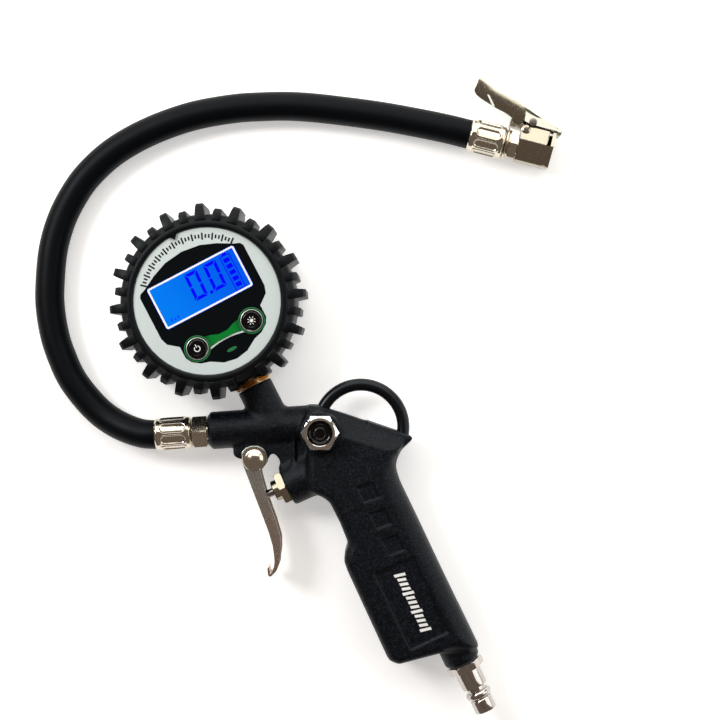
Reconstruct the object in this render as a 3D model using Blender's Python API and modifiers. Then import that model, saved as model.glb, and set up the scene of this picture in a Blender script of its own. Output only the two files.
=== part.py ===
"""Tyre inflator gun with a digital gauge, lying on its back, as named sub-parts.

Lengths are written in millimetres and scaled to metres once. The origin is the
centre of the gauge's back on the surface the tool lies on, +X runs from the
barrel to the grip, +Y away from the grip and +Z out of the gauge's face.
"""

import math

import bmesh
import bpy
from mathutils import Matrix, Vector

MM = 0.001
OBJECT_NAME = "tyre_inflator"

# Gun: cast body with its mid-plane parallel to the surface.
MID_Z = 12.5
BARREL_AT = (-1.4, -54.5, MID_Z)
BARREL_TILT = math.radians(4.0)
BARREL_DIR = (math.cos(BARREL_TILT), math.sin(BARREL_TILT), 0.0)
BARREL_RADIUS = 8.0
GAUGE_DIR = (0.454, -0.891, 0.0)
BOSS_REACH = 39.58
BOSS_RADIUS = 7.65
VALVE_AT = (31.8, -77.9, MID_Z)
VALVE_DIR = (0.910, 0.415, 0.0)
VALVE_RADIUS = 9.0
INLET_AT = (107.0, -152.6, MID_Z)
GRIP_DIR = (0.4305, -0.9026, 0.0)
INLET_RADIUS = 7.75
PORT_AT = (46.5, -54.6, 0.0)
PORT_RIM_Z = 27.0
BODY_THICK = 25.0
BODY_ROUND = 3.4
LOOP_AT = (63.5, -52.9)
LOOP_RADIUS = 18.1
LOOP_WIRE = 2.65
LOOP_START = -10.0
LOOP_END = 151.0

# Trigger: stamped channel hung on a rivet through the bracket.
TRIGGER_AT = (18.5, -66.0, MID_Z)
TRIGGER_HALF = 6.4
TRIGGER_SHEET = 1.1

# Gauge.
GAUGE_ROLL = math.radians(27.5)
CASE_RADIUS = 32.0
BOOT_RADIUS = 36.5
LUG_RADIUS = 41.0
FACE_Z = 33.3
WINDOW_V = 6.35
BUTTON_U = 12.6
BUTTON_V = -15.6
LONG_LUGS = 16
STEM_ANGLE = -62.5

# Hose and chuck.
HOSE_RADIUS = 6.2
HOSE_BORE = 3.2
CHUCK_AT = (110.1, 72.6, 8.4)
CHUCK_TILT = math.radians(-14.3)
CHUCK_DIR = (math.cos(CHUCK_TILT), math.sin(CHUCK_TILT), 0.0)
CHUCK_SIDE = (-math.sin(CHUCK_TILT), math.cos(CHUCK_TILT), 0.0)
LEVER_PIVOT = (24.9, 11.0)

HOSE_PATH = (
    (-9.4, -55.1, 12.5), (-16.0, -55.5, 12.5), (-24.6, -56.1, 12.4),
    (-31.5, -55.4, 11.0), (-40.2, -52.3, 8.4), (-47.7, -47.7, 6.8),
    (-54.3, -41.3, 6.2), (-61.0, -32.4, 6.2), (-65.3, -23.2, 6.2),
    (-68.4, -13.9, 6.2), (-70.3, -2.9, 6.2), (-70.6, 7.0, 6.2),
    (-69.2, 23.1, 6.2), (-65.4, 36.5, 6.2), (-59.8, 47.5, 6.2),
    (-53.6, 55.9, 6.2), (-44.3, 64.5, 6.2), (-33.3, 71.4, 6.2),
    (-20.6, 77.1, 6.2), (-6.8, 81.4, 6.2), (9.0, 84.1, 6.2),
    (21.0, 84.9, 6.2), (32.0, 85.1, 6.2), (43.5, 84.4, 6.2),
    (57.5, 82.8, 6.2), (70.0, 81.1, 6.3), (81.0, 79.2, 6.6),
    (95.0, 76.3, 7.7), (103.3, 74.33, 8.4), (109.5, 72.75, 8.4), (123.5, 69.19, 8.4),
)

BODY_OUTLINE = (
    (41.0, -43.3), (50.7, -45.2), (57.0, -47.2), (80.6, -55.3), (81.6, -59.0),
    (78.4, -66.0), (78.4, -72.0), (88.3, -92.6),
    (97.3, -111.8), (114.8, -148.1), (111.0, -149.9), (97.7, -148.5), (79.3, -153.2),
    (75.2, -151.2), (58.0, -113.5), (56.3, -108.8), (56.8, -105.3), (58.2, -101.6),
    (54.6, -92.6), (50.3, -84.1), (46.9, -81.7), (43.0, -80.5), (41.0, -74.0),
)
SPUR_OUTLINE = (
    (66.0, -50.2), (84.2, -56.3), (85.4, -57.3), (84.6, -58.6), (80.4, -62.5), (77.8, -67.5),
    (68.0, -66.0),
)
WEB_OUTLINE = (
    (20.0, -52.0), (48.0, -50.0), (48.0, -76.0), (31.0, -74.5), (29.4, -68.7),
    (28.8, -66.4), (27.7, -64.9), (26.4, -64.0), (25.1, -64.4), (23.8, -66.6),
    (23.2, -66.8), (20.0, -62.0),
)
BRACKET_OUTLINE = (
    (9.1, -56.0), (9.3, -64.0), (9.9, -65.3), (11.9, -66.3), (14.3, -66.4),
    (14.9, -68.2), (17.0, -69.6), (19.4, -69.7), (21.6, -68.6), (22.9, -66.6),
    (23.4, -62.0), (24.0, -55.0),
)


def clear_scene():
    """Empty the file and make the two collections."""
    for item in list(bpy.data.objects):
        bpy.data.objects.remove(item, do_unlink=True)
    parts = bpy.data.collections.new(OBJECT_NAME)
    tools = bpy.data.collections.new("cutters")
    bpy.context.scene.collection.children.link(parts)
    bpy.context.scene.collection.children.link(tools)
    return parts, tools


PARTS, TOOLS = clear_scene()


def frame_at(at, axis, roll=0.0):
    """Matrix in millimetres whose +Z is the axis and whose origin is at."""
    turn = Vector(axis).to_track_quat("Z", "Y").to_matrix().to_4x4()
    return Matrix.Translation(Vector(at)) @ turn @ Matrix.Rotation(roll, 4, "Z")


def along(at, axis, distance):
    """Point a distance along an axis."""
    return tuple(Vector(at) + Vector(axis) * distance)


def chuck_point(x, y, z=0.0):
    """World point from the chuck's own frame: along it, to its lever side, up."""
    spot = Vector(CHUCK_AT) + Vector(CHUCK_DIR) * x + Vector(CHUCK_SIDE) * y
    return (spot.x, spot.y, spot.z + z)


def face_point(u, v):
    """World point from the gauge face's own frame."""
    cos, sin = math.cos(GAUGE_ROLL), math.sin(GAUGE_ROLL)
    return (u * cos - v * sin, u * sin + v * cos)


def new_object(name, mesh, frame=None):
    """Object from a mesh in millimetres, moved by a frame and scaled to metres."""
    if frame is not None:
        mesh.transform(frame)
    mesh.transform(Matrix.Scale(MM, 4))
    obj = bpy.data.objects.new(name, mesh)
    PARTS.objects.link(obj)
    return obj


def lathe(name, profile, at, axis, steps=32, closed=False, roll=0.0):
    """Turned shape: a profile of (radius, height) listed from the top down."""
    mesh = bpy.data.meshes.new(name)
    verts = [(radius * MM, 0.0, height * MM) for radius, height in profile]
    edges = [(i, i + 1) for i in range(len(verts) - 1)]
    if closed:
        edges.append((len(verts) - 1, 0))
    mesh.from_pydata(verts, edges, [])
    obj = bpy.data.objects.new(name, mesh)
    PARTS.objects.link(obj)
    frame = frame_at(at, axis, roll)
    obj.matrix_world = Matrix.Translation(frame.to_translation() * MM) @ frame.to_3x3().to_4x4()
    screw = obj.modifiers.new("turn", "SCREW")
    screw.axis = "Z"
    screw.steps = steps
    screw.render_steps = steps
    screw.use_merge_vertices = True
    screw.merge_threshold = 0.00001
    screw.use_smooth_shade = False
    return obj


def curve_mesh(name, curve, frame):
    """Mesh object made from a curve."""
    temp = bpy.data.objects.new(name + "_curve", curve)
    bpy.context.scene.collection.objects.link(temp)
    graph = bpy.context.evaluated_depsgraph_get()
    mesh = bpy.data.meshes.new_from_object(temp.evaluated_get(graph))
    bpy.data.objects.remove(temp, do_unlink=True)
    work = bmesh.new()
    work.from_mesh(mesh)
    bmesh.ops.remove_doubles(work, verts=work.verts, dist=0.002)
    bmesh.ops.recalc_face_normals(work, faces=work.faces)
    work.to_mesh(mesh)
    work.free()
    mesh.name = name
    return new_object(name, mesh, frame)


def prism(name, outlines, bottom, top, bevel=0.0, frame=None, segments=2):
    """Flat outline with optional holes, extruded from bottom to top."""
    curve = bpy.data.curves.new(name, "CURVE")
    curve.dimensions = "2D"
    curve.fill_mode = "BOTH"
    for outline in outlines:
        spline = curve.splines.new("POLY")
        spline.points.add(len(outline) - 1)
        for point, (x, y) in zip(spline.points, outline):
            point.co = (x, y, 0.0, 1.0)
        spline.use_cyclic_u = True
    curve.extrude = (top - bottom) / 2.0 - bevel
    if bevel > 0.0:
        curve.bevel_depth = bevel
        curve.bevel_resolution = segments
        curve.offset = -bevel
    lift = Matrix.Translation((0.0, 0.0, (top + bottom) / 2.0))
    return curve_mesh(name, curve, lift if frame is None else frame @ lift)


def block(name, low, high, frame=None):
    """Box between two corners."""
    outline = ((low[0], low[1]), (high[0], low[1]), (high[0], high[1]), (low[0], high[1]))
    return prism(name, [outline], low[2], high[2], frame=frame)


def rod(name, points, radius, sides=3, frame=None):
    """Round wire along points, with closed ends."""
    curve = bpy.data.curves.new(name, "CURVE")
    curve.dimensions = "3D"
    curve.bevel_depth = radius
    curve.bevel_resolution = sides
    curve.use_fill_caps = True
    curve.twist_mode = "MINIMUM"
    spline = curve.splines.new("POLY")
    spline.points.add(len(points) - 1)
    for point, spot in zip(spline.points, points):
        point.co = (*spot, 1.0)
    return curve_mesh(name, curve, frame or Matrix.Identity(4))


def coil(name, at, axis, radius, wire, turns, length):
    """Compression spring starting at a point and running along an axis."""
    per_turn = 8
    total = int(turns * per_turn)
    points = []
    for i in range(total + 1):
        angle = 2.0 * math.pi * i / per_turn
        height = wire + (length - 2.0 * wire) * i / total
        points.append((radius * math.cos(angle), radius * math.sin(angle), height))
    return rod(name, points, wire, sides=0, frame=frame_at(at, axis))


def arc(centre, radius, start, end, count):
    """Points on an arc, angles in degrees."""
    spots = []
    for i in range(count):
        angle = math.radians(start + (end - start) * i / (count - 1))
        spots.append((centre[0] + radius * math.cos(angle), centre[1] + radius * math.sin(angle)))
    return spots


def boolean(target, tool, operation):
    """Join or cut a part with a tool that moves to the cutters."""
    for owner in list(tool.users_collection):
        owner.objects.unlink(tool)
    TOOLS.objects.link(tool)
    tool.hide_render = True
    tool.display_type = "WIRE"
    step = target.modifiers.new(tool.name, "BOOLEAN")
    step.operation = operation
    step.solver = "EXACT"
    step.object = tool


def cut(target, *tools):
    """Cut a part with tools."""
    for tool in tools:
        boolean(target, tool, "DIFFERENCE")


def join(target, *tools):
    """Join tools to a part."""
    for tool in tools:
        boolean(target, tool, "UNION")


def cylinder(name, at, axis, start, end, radius, steps=32):
    """Plain turned cylinder between two distances along an axis."""
    profile = [(0.0, end), (radius, end), (radius, start), (0.0, start)]
    return lathe(name, profile, at, axis, steps)


def hexagon(name, at, axis, start, end, across, roll=0.0):
    """Hexagonal prism, chamfered at both ends, measured across its flats."""
    corner = across / math.sqrt(3.0)
    soft = 0.35
    profile = [
        (0.0, end), (corner - soft, end), (corner, end - soft * 0.6),
        (corner, start + soft * 0.6), (corner - soft, start), (0.0, start),
    ]
    return lathe(name, profile, at, axis, 6, roll=roll)


def set_origin(obj, spot):
    """Move an object's origin to a point in millimetres without moving its mesh."""
    target = Vector(spot) * MM
    shift = obj.matrix_world.inverted() @ target
    obj.data.transform(Matrix.Translation(-shift))
    obj.matrix_world = obj.matrix_world @ Matrix.Translation(shift)


def finish(obj, colour, metallic=0.0, roughness=0.5):
    """Give a part a material of its own."""
    material = bpy.data.materials.new(obj.name + "_material")
    material.use_nodes = True
    shader = material.node_tree.nodes["Principled BSDF"]
    shader.inputs["Base Color"].default_value = (*colour, 1.0)
    shader.inputs["Metallic"].default_value = metallic
    shader.inputs["Roughness"].default_value = roughness
    obj.data.materials.clear()
    obj.data.materials.append(material)
    return obj


CAST = (0.028, 0.030, 0.036)
RUBBER = (0.018, 0.018, 0.019)
NICKEL = (0.62, 0.60, 0.56)
CHROME = (0.75, 0.76, 0.77)
BRASS = (0.55, 0.40, 0.16)
STEEL = (0.50, 0.50, 0.50)


def facet_cutter(name, upper):
    """Wedge that slopes the top edge of the receiver, above or below."""
    start = Vector((43.0, -43.3, 0.0))
    run = Vector((0.953, -0.301, 0.0))
    inward = Vector((-0.301, -0.953, 0.0))
    if upper:
        section = [(-3.0, 14.9), (14.2, 30.0), (-3.0, 30.0)]
    else:
        section = [(-3.0, -5.0), (14.2, -5.0), (-3.0, 10.1)]
    frame = Matrix((
        (inward.x, 0.0, -run.x, start.x + run.x * 48.0),
        (inward.y, 0.0, -run.y, start.y + run.y * 48.0),
        (0.0, 1.0, 0.0, 0.0),
        (0.0, 0.0, 0.0, 1.0),
    ))
    return prism(name, [section], 0.0, 48.0, frame=frame)


def make_gun_body():
    """Cast receiver, barrel, bosses and grip with their bores."""
    body = prism("gun_body", [BODY_OUTLINE], 0.0, BODY_THICK, BODY_ROUND, segments=2)
    cut(body, facet_cutter("facet_front", True), facet_cutter("facet_back", False))
    join(
        body,
        lathe("barrel", [
            (0.0, 50.0), (BARREL_RADIUS, 50.0), (BARREL_RADIUS, 2.0), (6.6, 0.0), (0.0, 0.0),
        ], BARREL_AT, BARREL_DIR, 40),
        lathe("gauge_boss", [
            (0.0, 20.0), (BOSS_RADIUS, 20.0), (BOSS_RADIUS, 0.6), (BOSS_RADIUS - 0.6, 0.0),
            (0.0, 0.0),
        ], along((0.0, 0.0, MID_Z), GAUGE_DIR, BOSS_REACH), GAUGE_DIR, 36),
        lathe("valve_boss", [
            (0.0, 19.0), (VALVE_RADIUS, 19.0), (VALVE_RADIUS, 1.6), (VALVE_RADIUS - 1.2, 0.0),
            (0.0, 0.0),
        ], VALVE_AT, VALVE_DIR, 40),
        prism("spur", [SPUR_OUTLINE], 5.5, 19.5),
        prism("web", [WEB_OUTLINE], 8.0, 17.0),
        prism("rib", [((33.9, -50.0), (35.6, -50.0), (36.2, -73.5), (34.5, -73.5))], 6.6, 18.4),
        prism("bracket", [BRACKET_OUTLINE], 8.0, 17.0),
        lathe("inlet_boss", [
            (0.0, 0.0), (INLET_RADIUS - 1.0, 0.0), (INLET_RADIUS, -1.6), (INLET_RADIUS, -24.0),
            (0.0, -24.0),
        ], INLET_AT, GRIP_DIR, 36),
        lathe("port_boss", [
            (0.0, PORT_RIM_Z), (7.9, PORT_RIM_Z), (8.5, PORT_RIM_Z - 0.8), (9.4, 21.0), (0.0, 21.0),
        ], PORT_AT, (0.0, 0.0, 1.0), 40),
    )
    cut(
        body,
        lathe("air_way", [
            (0.0, 47.0), (2.6, 47.0), (2.6, 10.6), (4.35, 10.4), (4.35, -1.0), (0.0, -1.0),
        ], BARREL_AT, BARREL_DIR, 24),
        lathe("gauge_bore", [
            (0.0, 19.4), (2.0, 19.4), (2.0, 9.0), (4.6, 8.8), (4.6, -1.0), (0.0, -1.0),
        ], along((0.0, 0.0, MID_Z), GAUGE_DIR, BOSS_REACH), GAUGE_DIR, 24),
        lathe("valve_bore", [
            (0.0, 36.6), (2.5, 36.6), (2.5, 26.4), (4.8, 26.0), (4.8, -1.0), (0.0, -1.0),
        ], VALVE_AT, VALVE_DIR, 24),
        cylinder("cross_way", (46.2, -72.0, MID_Z), (0.03, 1.0, 0.0), 0.0, 15.0, 2.2, 20),
        lathe("inlet_bore", [
            (0.0, 1.0), (4.9, 1.0), (4.9, -12.0), (3.0, -13.0), (3.0, -100.3), (0.0, -100.3),
        ], INLET_AT, GRIP_DIR, 24),
        cylinder("port_bore", PORT_AT, (0.0, 0.0, 1.0), 9.5, 30.0, 6.2, 28),
        cylinder("rivet_hole", TRIGGER_AT, (0.0, 0.0, 1.0), -6.0, 6.0, 2.15, 20),
        loop_rod("loop_socket", LOOP_WIRE + 0.2),
    )
    for i in range(3):
        x, y = 66.5 + 5.24 * i, -79.8 - 11.0 * i
        square = ((x - 4.75, y + 2.0), (x + 1.6, y + 4.25), (x + 4.75, y - 2.0), (x - 1.6, y - 4.25))
        cut(body, prism(f"square_{i + 1}", [square], BODY_THICK - 0.6, BODY_THICK + 3.0))
        cut(body, prism(f"back_square_{i + 1}", [square], -3.0, 0.6))
    panel = ((68.8, -113.8), (85.3, -106.8), (100.4, -138.3), (84.1, -145.8))
    cut(body, prism("label_recess", [panel], BODY_THICK - 0.5, BODY_THICK + 3.0))
    finish(body, CAST, 0.25, 0.55)


def loop_rod(name, wire):
    """Arc of the hanging loop."""
    spots = arc(LOOP_AT, LOOP_RADIUS, LOOP_START - 10.0, LOOP_END + 8.0, 30)
    return rod(name, [(x, y, MID_Z) for x, y in spots], wire, sides=3)


def make_hanging_loop():
    """Coated wire loop set into the casting."""
    finish(loop_rod("hanging_loop", LOOP_WIRE), RUBBER, 0.1, 0.35)


def make_hose_fitting():
    """Hexagonal fitting with a barb and the rear crimped ferrule."""
    fitting = lathe("hose_fitting", [
        (1.9, 8.8), (4.1, 8.8), (4.1, -0.4), (4.6, -0.5), (4.6, -6.4), (2.95, -6.6),
        (2.95, -9.0), (3.1, -12.0), (2.8, -12.4), (3.1, -16.0), (2.8, -16.4), (3.1, -20.0),
        (1.9, -21.6),
    ], BARREL_AT, BARREL_DIR, 24, closed=True)
    nut = hexagon("fitting_hex", BARREL_AT, BARREL_DIR, -6.6, -0.35, 13.0, roll=math.radians(90))
    cut(nut, cylinder("fitting_hex_bore", BARREL_AT, BARREL_DIR, -8.0, 2.0, 3.4, 20))
    join(fitting, nut)
    finish(fitting, NICKEL, 0.9, 0.25)
    ferrule = lathe("rear_ferrule", [
        (6.1, -6.85), (6.95, -7.6), (6.95, -21.6), (6.7, -22.6), (6.32, -22.6), (6.32, -7.9),
        (3.3, -7.9), (3.3, -6.85),
    ], BARREL_AT, BARREL_DIR, 24, closed=True)
    finish(ferrule, NICKEL, 0.9, 0.3)


def make_hose():
    """Rubber hose lying on the surface, open at both ends."""
    points = smooth_path([Vector(spot) for spot in HOSE_PATH], 1)
    mesh = sweep_tube("hose", points, HOSE_RADIUS, HOSE_BORE, 16)
    finish(new_object("hose", mesh), RUBBER, 0.0, 0.55)


def smooth_path(points, parts):
    """Path through points with extra points between them."""
    ends = [points[0] * 2 - points[1]] + points + [points[-1] * 2 - points[-2]]
    path = []
    for i in range(1, len(ends) - 2):
        before, start, end, after = ends[i - 1:i + 3]
        for j in range(parts):
            t = j / parts
            path.append(0.5 * (
                start * 2 + (end - before) * t
                + (before * 2 - start * 5 + end * 4 - after) * t * t
                + (start * 3 - before - end * 3 + after) * t * t * t
            ))
    return path + [points[-1]]


def sweep_tube(name, path, outer, inner, sides):
    """Open tube with a wall, swept along a path that stays close to level."""
    work = bmesh.new()
    rings = []
    for i, spot in enumerate(path):
        ahead = (path[min(i + 1, len(path) - 1)] - path[max(i - 1, 0)]).normalized()
        side = Vector((0.0, 0.0, 1.0)).cross(ahead).normalized()
        up = ahead.cross(side)
        row = []
        for radius in (outer, inner):
            for j in range(sides):
                angle = 2.0 * math.pi * j / sides
                row.append(work.verts.new(
                    spot + side * (radius * math.cos(angle)) + up * (radius * math.sin(angle))
                ))
        rings.append(row)
    for first, second in zip(rings, rings[1:]):
        for j in range(sides):
            k = (j + 1) % sides
            work.faces.new((first[j], first[k], second[k], second[j]))
            work.faces.new((
                first[sides + k], first[sides + j], second[sides + j], second[sides + k],
            ))
    for row in (rings[0], rings[-1]):
        for j in range(sides):
            k = (j + 1) % sides
            work.faces.new((row[j], row[sides + j], row[sides + k], row[k]))
    bmesh.ops.recalc_face_normals(work, faces=work.faces)
    mesh = bpy.data.meshes.new(name)
    work.to_mesh(mesh)
    work.free()
    return mesh


def make_inlet():
    """Quick-connect plug with its thread seal."""
    plug = lathe("inlet_plug", [
        (3.2, 23.2), (4.3, 23.2), (4.8, 22.6), (4.8, 17.6), (4.0, 17.0), (5.5, 16.2),
        (5.5, 14.6), (4.0, 13.4), (4.0, 12.2), (5.0, 12.0), (5.55, 11.4), (5.55, 4.0),
        (4.7, 3.8), (4.7, -8.0), (3.2, -8.0),
    ], INLET_AT, GRIP_DIR, 24, closed=True)
    nut = hexagon("inlet_hex", INLET_AT, GRIP_DIR, 0.9, 4.0, 14.0, roll=0.0)
    cut(nut, cylinder("inlet_hex_bore", INLET_AT, GRIP_DIR, -1.0, 6.0, 4.2, 24))
    join(plug, nut)
    finish(plug, CHROME, 1.0, 0.2)
    seal = lathe("inlet_seal", [
        (4.95, 0.85), (6.6, 0.85), (6.6, 0.05), (4.95, 0.05),
    ], INLET_AT, GRIP_DIR, 24, closed=True)
    finish(seal, (0.75, 0.74, 0.70), 0.0, 0.6)


def make_valve():
    """Gland, stem, disc and spring of the trigger valve."""
    gland = lathe("valve_gland", [
        (1.95, 8.0), (4.5, 8.0), (4.5, -0.1), (6.0, -0.15), (6.0, -2.9), (4.5, -3.0),
        (4.5, -5.6), (4.1, -6.0), (1.95, -6.0),
    ], VALVE_AT, VALVE_DIR, 24, closed=True)
    nut = hexagon("gland_hex", VALVE_AT, VALVE_DIR, -3.2, -0.1, 13.0, roll=math.radians(30))
    cut(nut, cylinder("gland_hex_bore", VALVE_AT, VALVE_DIR, -5.0, 2.0, 4.2, 24))
    join(gland, nut)
    finish(gland, NICKEL, 0.9, 0.28)
    stem = lathe("valve_stem", [
        (0.0, 13.0), (3.4, 13.0), (3.6, 12.6), (3.6, 10.8), (1.75, 10.2), (1.75, -11.7),
        (1.2, -12.3), (0.0, -12.3),
    ], VALVE_AT, VALVE_DIR, 20)
    set_origin(stem, VALVE_AT)
    finish(stem, STEEL, 0.9, 0.3)
    seal = lathe("valve_seal", [
        (1.9, 10.0), (4.2, 10.0), (4.2, 8.3), (1.9, 8.3),
    ], VALVE_AT, VALVE_DIR, 20, closed=True)
    finish(seal, RUBBER, 0.0, 0.6)
    spring = coil("valve_spring", along(VALVE_AT, VALVE_DIR, 13.3), VALVE_DIR, 3.0, 0.4, 5, 12.3)
    finish(spring, STEEL, 1.0, 0.3)


def make_side_port():
    """Hexagonal bush with the recessed bleed button and its spring."""
    up = (0.0, 0.0, 1.0)
    bush = lathe("port_bush", [
        (5.2, 33.2), (6.5, 33.2), (6.85, 32.8), (6.85, 30.0), (6.6, 29.9), (6.6, 27.5),
        (5.9, 27.2), (5.9, 19.5), (2.3, 19.5), (2.3, 23.4), (5.2, 23.6),
    ], PORT_AT, up, 24, closed=True)
    nut = hexagon("bush_hex", PORT_AT, up, 27.1, 30.3, 14.0, roll=math.radians(0))
    cut(nut, cylinder("bush_hex_bore", PORT_AT, up, 25.0, 32.0, 5.6, 24))
    join(bush, nut)
    finish(bush, CHROME, 1.0, 0.15)
    button = lathe("bleed_button", [
        (0.0, 30.9), (3.4, 30.9), (4.9, 30.0), (4.9, 28.4), (2.0, 28.2), (2.0, 14.5), (0.0, 14.5),
    ], PORT_AT, up, 28)
    set_origin(button, PORT_AT)
    finish(button, (0.015, 0.015, 0.016), 0.0, 0.2)
    spring = coil("bleed_spring", (PORT_AT[0], PORT_AT[1], 23.75), up, 3.5, 0.35, 3, 4.3)
    finish(spring, STEEL, 1.0, 0.3)


TRIGGER_OUTER = (
    (12.9, -63.6), (13.2, -67.2), (13.9, -69.3), (19.4, -83.7), (24.3, -96.5),
    (26.2, -102.8), (27.0, -109.2), (26.6, -112.3), (25.1, -115.0), (24.7, -111.9),
    (23.9, -111.9), (24.2, -115.6), (25.4, -116.0), (27.9, -113.4), (29.0, -110.5),
    (29.2, -107.9), (29.7, -104.0), (29.6, -99.4), (27.5, -92.2), (24.4, -83.7), (22.8, -78.6),
    (20.9, -71.4), (23.4, -68.2), (23.9, -65.0), (22.6, -61.9), (20.2, -60.6), (16.8, -60.6),
    (14.3, -61.7),
)
TRIGGER_INNER = (
    (11.0, -58.0), (11.0, -68.0), (14.7, -69.4), (16.4, -73.1), (20.5, -83.7), (25.4, -96.5),
    (27.3, -102.7), (28.1, -107.5), (28.5, -109.8), (31.0, -109.6), (33.0, -100.0),
    (30.0, -88.0), (27.0, -76.0), (27.0, -58.0),
)


def make_trigger():
    """Stamped channel trigger hung on its rivet."""
    low, high = MID_Z - TRIGGER_HALF, MID_Z + TRIGGER_HALF
    trigger = prism("trigger", [TRIGGER_OUTER], low, high)
    cut(
        trigger,
        prism("trigger_channel", [TRIGGER_INNER], low + TRIGGER_SHEET, high - TRIGGER_SHEET),
        cylinder("trigger_eye", TRIGGER_AT, (0.0, 0.0, 1.0), -9.0, 9.0, 2.2, 20),
    )
    set_origin(trigger, TRIGGER_AT)
    finish(trigger, NICKEL, 0.9, 0.35)
    head = TRIGGER_HALF + 0.15
    rivet = lathe("trigger_rivet", [
        (0.0, head + 2.3), (2.4, head + 2.0), (4.0, head + 1.0), (4.2, head + 0.9),
        (5.15, head + 0.7), (5.15, head), (1.95, head), (1.95, -head), (4.6, -head),
        (4.6, -head - 0.8), (3.4, -head - 1.4), (0.0, -head - 1.6),
    ], TRIGGER_AT, (0.0, 0.0, 1.0), 28)
    finish(rivet, NICKEL, 0.9, 0.25)


def rounded_box(width, height, radius, centre):
    """Outline of a box with rounded corners in the gauge face's frame."""
    spots = []
    for sign_u, sign_v, start in ((1, 1, 0), (-1, 1, 90), (-1, -1, 180), (1, -1, 270)):
        corner = (
            centre[0] + sign_u * (width / 2.0 - radius),
            centre[1] + sign_v * (height / 2.0 - radius),
        )
        spots.extend(arc(corner, radius, start, start + 90, 3))
    return spots


def make_case():
    """Gauge case, its back, the battery door and screw."""
    roll = Matrix.Rotation(GAUGE_ROLL, 4, "Z")
    up = (0.0, 0.0, 1.0)
    front = lathe("case_front", [
        (0.0, 32.8), (31.6, 32.8), (CASE_RADIUS, 32.4), (CASE_RADIUS, 4.3), (29.8, 4.3),
        (29.8, 31.2), (0.0, 31.2),
    ], (0.0, 0.0, 0.0), up, 48)
    for i, angle in enumerate((90.0, 206.0, 270.0, 334.0)):
        x, y = face_point(26.4 * math.cos(math.radians(angle)), 26.4 * math.sin(math.radians(angle)))
        join(front, cylinder(f"post_{i + 1}", (x, y, 0.0), up, 21.4, 31.6, 1.9, 12))
    cut(
        front,
        prism("window_hole", [rounded_box(40.6, 19.1, 1.0, (0.0, WINDOW_V))], 29.0, 36.0, frame=roll),
        cylinder("power_hole", (*face_point(-BUTTON_U, BUTTON_V), 0.0), up, 29.0, 36.0, 4.3, 24),
        cylinder("light_hole", (*face_point(BUTTON_U, BUTTON_V), 0.0), up, 29.0, 36.0, 4.3, 24),
        cylinder("stem_hole", (0.0, 0.0, MID_Z), GAUGE_DIR, 26.0, 36.0, 6.1, 24),
    )
    finish(front, (0.55, 0.56, 0.56), 0.2, 0.4)
    back = lathe("case_back", [
        (0.0, 4.0), (31.6, 4.0), (31.6, 1.7), (28.6, 1.7), (28.6, 0.0), (0.0, 0.0),
    ], (0.0, 0.0, 0.0), up, 48)
    cut(
        back,
        prism("battery_bay", [rounded_box(47.0, 24.0, 1.0, (0.0, 1.5))], -2.0, 6.0, frame=roll),
        prism("tongue_bay", [rounded_box(9.4, 9.0, 1.0, (0.0, -13.6))], -2.0, 1.7, frame=roll),
        cylinder("screw_bore", (*face_point(0.0, -14.5), 0.0), up, 1.0, 6.0, 1.2, 16),
    )
    finish(back, (0.03, 0.03, 0.032), 0.0, 0.5)
    door = prism("battery_door", [rounded_box(46.4, 23.4, 0.8, (0.0, 1.5))], 0.0, 1.4, frame=roll)
    join(door, prism("tongue", [rounded_box(8.8, 11.0, 0.8, (0.0, -12.3))], 0.0, 1.4, frame=roll))
    cut(
        door,
        cylinder("door_hole", (*face_point(0.0, -14.5), 0.0), up, -1.0, 3.0, 1.3, 16),
        cylinder("door_sink", (*face_point(0.0, -14.5), 0.0), up, -1.0, 0.75, 2.2, 20),
    )
    finish(door, (0.035, 0.035, 0.037), 0.0, 0.55)
    screw = lathe("door_screw", [
        (0.0, 3.9), (1.0, 3.9), (1.0, 0.65), (2.0, 0.65), (2.0, 0.1), (0.0, 0.1),
    ], (*face_point(0.0, -14.5), 0.0), up, 16)
    cut(screw, block("screw_slot", (-1.5, -0.25, -1.0), (1.5, 0.25, 0.35),
                     frame=Matrix.Translation((*face_point(0.0, -14.5), 0.0)) @ roll))
    finish(screw, STEEL, 1.0, 0.3)


def mask_outline():
    """Edge of the dark panel round the display and the buttons."""
    right = [
        (8.0, 21.8), (14.6, 19.2), (20.6, 15.9), (23.0, 15.0), (23.9, 13.6), (23.9, -5.2),
        (22.9, -8.2), (20.4, -10.2), (18.6, -11.6), (18.6, -16.8), (17.2, -19.3), (14.0, -21.6),
        (10.4, -22.6), (5.4, -25.6),
    ]
    left = [(-u, v) for u, v in reversed(right)]
    return [(0.0, 22.8)] + right + [(0.0, -26.6)] + left


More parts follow.
